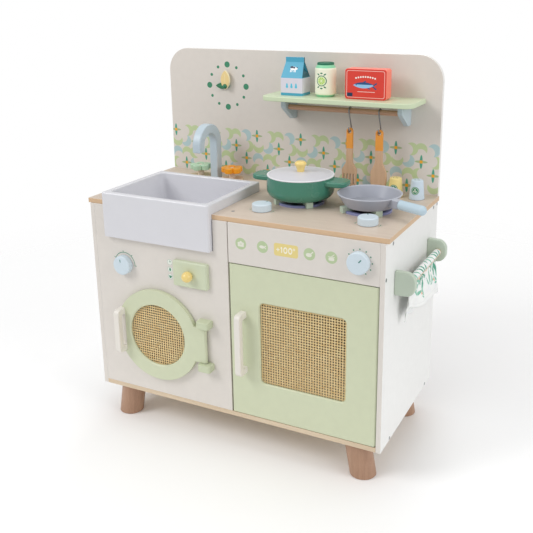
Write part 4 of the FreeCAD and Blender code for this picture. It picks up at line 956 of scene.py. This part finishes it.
clothSettings = {"quality": 8, "mass": 0.12, "tension_stiffness": 25, "compression_stiffness": 25,
                 "shear_stiffness": 12, "bending_stiffness": 0.6, "air_damping": 3}
clothContact = {"distance_min": 0.0008, "collision_quality": 4}


def hung(s, radius, barX, barZ):  # place of the cloth's line at length s, before it settles
    over = math.pi * radius
    if s < towel["innerFall"]:
        return barX - radius, barZ - (towel["innerFall"] - s)
    if s < towel["innerFall"] + over:
        turn = (s - towel["innerFall"]) / radius
        return barX - radius * math.cos(turn), barZ + radius * math.sin(turn)
    return barX + radius, barZ - (s - towel["innerFall"] - over)


def towelMesh():
    low, high = box("towel_bar")
    barX, barZ, radius = (low.x + high.x) / 2, (low.z + high.z) / 2, (high.z - low.z) / 2
    centre = middle("towel")
    random.seed(towel["seed"])
    phases = [random.uniform(0, math.tau) for wave in range(4)]
    mesh = bmesh.new()
    flat = mesh.loops.layers.uv.new("flat")
    rows, places = [], {}
    for j in range(towel["down"] + 1):
        s = towel["length"] * j / towel["down"]
        row = []
        for i in range(towel["across"] + 1):
            t = i / towel["across"]
            x, z = hung(s, radius + towel["ease"], barX, barZ)
            fall = max(0.0, barZ - z) / 140
            sign = 1 if x > barX else -1
            wave = (math.sin(t * 9.5 + phases[0] + sign) * 2.6 + math.sin(t * 17 + phases[1]) * 1.2
                    + math.sin(t * 5 + s * 0.02 + phases[2]) * 1.8)
            lean, share = (4.0, 1) if sign > 0 else (1.5, 0.5)
            x += sign * fall * lean + wave * min(fall, 1) * share
            y = centre.y + (t - 0.5) * towel["width"] * (1 - 0.02 * fall)
            vert = mesh.verts.new(Vector((x, y, z)) / 1000)
            places[vert] = (t * towel["width"], s)
            row.append(vert)
        rows.append(row)
    for before, after in zip(rows, rows[1:]):
        for a, b, c, d in zip(before, before[1:], after[1:], after):
            face = mesh.faces.new((a, b, c, d))
            face.smooth = True
            for loop in face.loops:
                loop[flat].uv = places[loop.vert]
    data = bpy.data.meshes.new("towel_cloth")
    mesh.to_mesh(data)
    mesh.free()
    return data, Vector((barX, centre.y, barZ)), radius


def blocker(name, low, high):  # a plain box that the cloth can't enter while it settles
    mesh = bmesh.new()
    bmesh.ops.create_cube(mesh, size=1)
    for vert in mesh.verts:
        vert.co = Vector([(a + b) / 2 + c * (b - a) for a, b, c in zip(low, high, vert.co)]) / 1000
    return standIn(name, mesh)


def standIn(name, mesh):
    data = bpy.data.meshes.new(name)
    mesh.to_mesh(data)
    mesh.free()
    piece = bpy.data.objects.new(name, data)
    bpy.context.scene.collection.objects.link(piece)
    piece.modifiers.new("Collision", "COLLISION")
    piece.collision.thickness_outer = 0.0006
    piece.collision.cloth_friction = 12
    return piece


def settleTowel(piece, bar, radius):
    mesh = bmesh.new()
    bmesh.ops.create_cone(mesh, cap_ends=True, segments=48, radius1=radius / 1000,
                          radius2=radius / 1000, depth=0.19)
    for vert in mesh.verts:
        x, y, z = vert.co
        vert.co = Vector((x + bar.x / 1000, z + bar.y / 1000, y + bar.z / 1000))
    side = box("right_side_panel")[1].x
    low = (side - 20, bar.y - 140, bar.z - 220)
    high = (side, bar.y + 140, bar.z + 60)
    helpers = [standIn("barStandIn", mesh), blocker("sideStandIn", low, high)]
    cloth = piece.modifiers.new("Cloth", "CLOTH")
    settings = cloth.settings
    over = [vert.index for vert in piece.data.vertices if vert.co.z * 1000 > bar.z]
    piece.vertex_groups.new(name="overBar").add(over, 1, "REPLACE")
    settings.vertex_group_mass = "overBar"  # the fold over the bar stays while both falls settle
    for key, value in clothSettings.items():
        setattr(settings, key, value)
    for key, value in clothContact.items():
        setattr(cloth.collision_settings, key, value)
    cloth.point_cache.frame_start = 1
    cloth.point_cache.frame_end = towel["frames"]
    scene = bpy.context.scene
    for number in range(1, towel["frames"] + 1):
        scene.frame_set(number)
    settled = bpy.data.meshes.new_from_object(piece.evaluated_get(bpy.context.evaluated_depsgraph_get()))
    piece.modifiers.clear()
    piece.vertex_groups.clear()
    piece.data = settled
    scene.frame_set(1)
    for helper in helpers:
        bpy.data.objects.remove(helper)


def towelFinish():
    finish = Finish("towelCotton")
    flat = finish.add("ShaderNodeUVMap", {"uv_map": "flat"})
    u, v = finish.parts(flat)[:2]
    wide, tall = 83.0, 92.0
    leaves, deep, stems, spots = [], [], [], []

    def sprig(x, y, lean, reach, ink, count):
        for step in range(count):
            fan = lean + (step - (count - 1) / 2) * 34
            lu, lv = spun((u - x).wrap(-wide / 2, wide / 2), (v - y).wrap(-tall / 2, tall / 2), fan)
            length = reach * (1 - 0.16 * abs(step - (count - 1) / 2))
            ink.append(leaf(lu, lv - length * 0.62, 2.6, length / 2))
    sprig(20, 18, 20, 34, leaves, 4)
    sprig(62, 58, 190, 32, deep, 4)
    sprig(66, 10, -40, 26, leaves, 3)
    sprig(22, 66, 100, 30, deep, 3)
    for x, y, lean, radius in ((40, 40, 25, 46), (5, 80, 70, 38)):
        su, sv = (u - x).wrap(-wide / 2, wide / 2), (v - y).wrap(-tall / 2, tall / 2)
        stems.append(arc(su + radius - 6, sv, radius, lean, lean + 50, 1.0))
    for x, y, lean in ((44, 22, 20), (8, 50, -30), (74, 78, 40)):
        su, sv = spun((u - x).wrap(-wide / 2, wide / 2), (v - y).wrap(-tall / 2, tall / 2), lean)
        spots.append(oval(su, sv, 1.7, 2.8))
    cloud = finish.noise(30, 2) - 0.5
    colour = finish.mix((cloud * 3).clamp(), towel["cotton"], towel["shadow"])
    colour = layered(finish, colour, [(either(stems), towel["stem"]), (either(leaves), towel["leaf"]),
                                      (either(deep), towel["deepLeaf"]), (either(spots), towel["spot"])])
    warp = (u * 6.0).wrap(-math.pi, math.pi).size()
    weft = (v * 6.0).wrap(-math.pi, math.pi).size()
    weave = warp.most(weft) / math.pi
    hem = ((v - towel["hem"]).size() - 0.35).least((v - (towel["length"] - towel["hem"])).size() - 0.35)
    seam = within(hem, 0.5)
    height = weave * 0.25 - seam * 1.5 + finish.noise(1.2, 3) * 0.4
    return finish.shade(Base_Color=finish.shaded(colour, 1 - seam * 0.12), Roughness=0.85 + cloud * 0.1,
                        Sheen_Weight=0.25, Sheen_Roughness=0.5, Normal=finish.bump(height, 0.15, 0.6))


def hangTowel():
    data, bar, radius = towelMesh()
    piece = bpy.data.objects.new("towel_cloth", data)
    bpy.context.scene.collection.objects.link(piece)
    settleTowel(piece, bar, radius)
    for face in piece.data.polygons:
        face.use_smooth = True
    piece.data.materials.clear()
    piece.data.materials.append(towelFinish())
    solid = piece.modifiers.new("Thickness", "SOLIDIFY")
    solid.thickness = towel["thick"] / 1000
    solid.offset = 0
    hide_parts("towel")
    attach(piece, "cabinet")
    towel["width"] / 1000
    towel["length"] / 1000
    low = min(vert.co.z for vert in piece.data.vertices)
    print("towel hung, lowest point", round(low * 1000, 1), "mm")


hangTowel()

# Floor, lights and camera

studio = {"floor": tint(252, 252, 252), "seen": 1.0, "lit": 0.58, "floorReach": 1.6, "fadeFrom": 0.55,
          # name, place, size in metres, power
          "lights": (("key", (-1.9, -2.1, 2.5), 1.6, 45), ("fill", (2.6, -0.5, 1.6), 1.8, 24),
                     ("top", (0.1, 0.2, 2.6), 1.6, 10), ("back", (-0.6, 2.2, 1.8), 1.4, 9))}

view = {"place": (0.6447, -1.2169, 0.8277), "azimuth": 26.46, "elevation": 16.21, "roll": -0.53,
        "lens": 51.6, "shift": (-0.0375, -0.103)}


def floorFinish():  # pale sweep that fades into the white studio all round
    finish = Finish("paleFloor")
    cloud = finish.noise(300, 2) - 0.5
    finish.shade(Base_Color=finish.shaded(studio["floor"], 1 + cloud * 0.01),
                 Roughness=0.9 + cloud * 0.05)
    x, y = finish.place()[:2]
    width = (studio["floorReach"] - studio["fadeFrom"]) * 1000
    fade = ((span(x, y) - studio["fadeFrom"] * 1000) / width).clamp()
    surface = finish.tree.nodes["Principled BSDF"]
    clear = finish.add("ShaderNodeBsdfTransparent")
    blend = finish.add("ShaderNodeMixShader", None, {0: fade, 2: clear})
    finish.tree.links.new(surface.outputs[0], blend.socket.node.inputs[1])
    output = finish.tree.nodes["Material Output"]
    finish.tree.links.new(blend.socket, output.inputs["Surface"])
    return finish.material


def buildStudio():
    mesh = bmesh.new()
    bmesh.ops.create_circle(mesh, cap_ends=True, segments=64, radius=studio["floorReach"])
    data = bpy.data.meshes.new("floor")
    mesh.to_mesh(data)
    mesh.free()
    data.materials.append(floorFinish())
    floor = bpy.data.objects.new("floor", data)
    bpy.context.scene.collection.objects.link(floor)
    floor.location.z = -0.0004
    aim = (cadBox[0] + cadBox[1]) / 2
    for name, place, size, power in studio["lights"]:
        lamp = bpy.data.lights.new(name, "AREA")
        lamp.shape = "DISK"
        lamp.size = size
        lamp.energy = power
        holder = bpy.data.objects.new(name, lamp)
        holder.location = place
        holder.rotation_euler = (Vector(place) - aim).to_track_quat("Z", "Y").to_euler()
        bpy.context.scene.collection.objects.link(holder)
    world = bpy.data.worlds.new("studio")
    world.use_nodes = True
    tree = world.node_tree
    background = tree.nodes["Background"]
    background.inputs["Color"].default_value = (1, 1, 1, 1)
    rays = tree.nodes.new("ShaderNodeLightPath")
    strength = tree.nodes.new("ShaderNodeMapRange")  # white where it is seen, softer as a light
    strength.inputs["To Min"].default_value = studio["lit"]
    strength.inputs["To Max"].default_value = studio["seen"]
    tree.links.new(rays.outputs["Is Camera Ray"], strength.inputs["Value"])
    tree.links.new(strength.outputs["Result"], background.inputs["Strength"])
    bpy.context.scene.world = world
    bpy.context.scene.view_settings.view_transform = "Standard"


def buildCamera():
    lens = bpy.data.cameras.new("camera")
    lens.lens = view["lens"]
    lens.shift_x, lens.shift_y = view["shift"]
    lens.clip_start, lens.clip_end = 0.05, 100
    azimuth, elevation = math.radians(view["azimuth"]), math.radians(view["elevation"])
    back = Vector((math.sin(azimuth) * math.cos(elevation), -math.cos(azimuth) * math.cos(elevation),
                   math.sin(elevation)))
    camera = bpy.data.objects.new("camera", lens)
    camera.rotation_mode = "QUATERNION"
    level = (-back).to_track_quat("-Z", "Y")
    tilt = type(level)((0, 0, 1), math.radians(view["roll"]))
    camera.rotation_quaternion = level @ tilt
    camera.location = view["place"]
    bpy.context.scene.collection.objects.link(camera)
    bpy.context.scene.camera = camera


buildStudio()
buildCamera()
print("studio and camera placed")
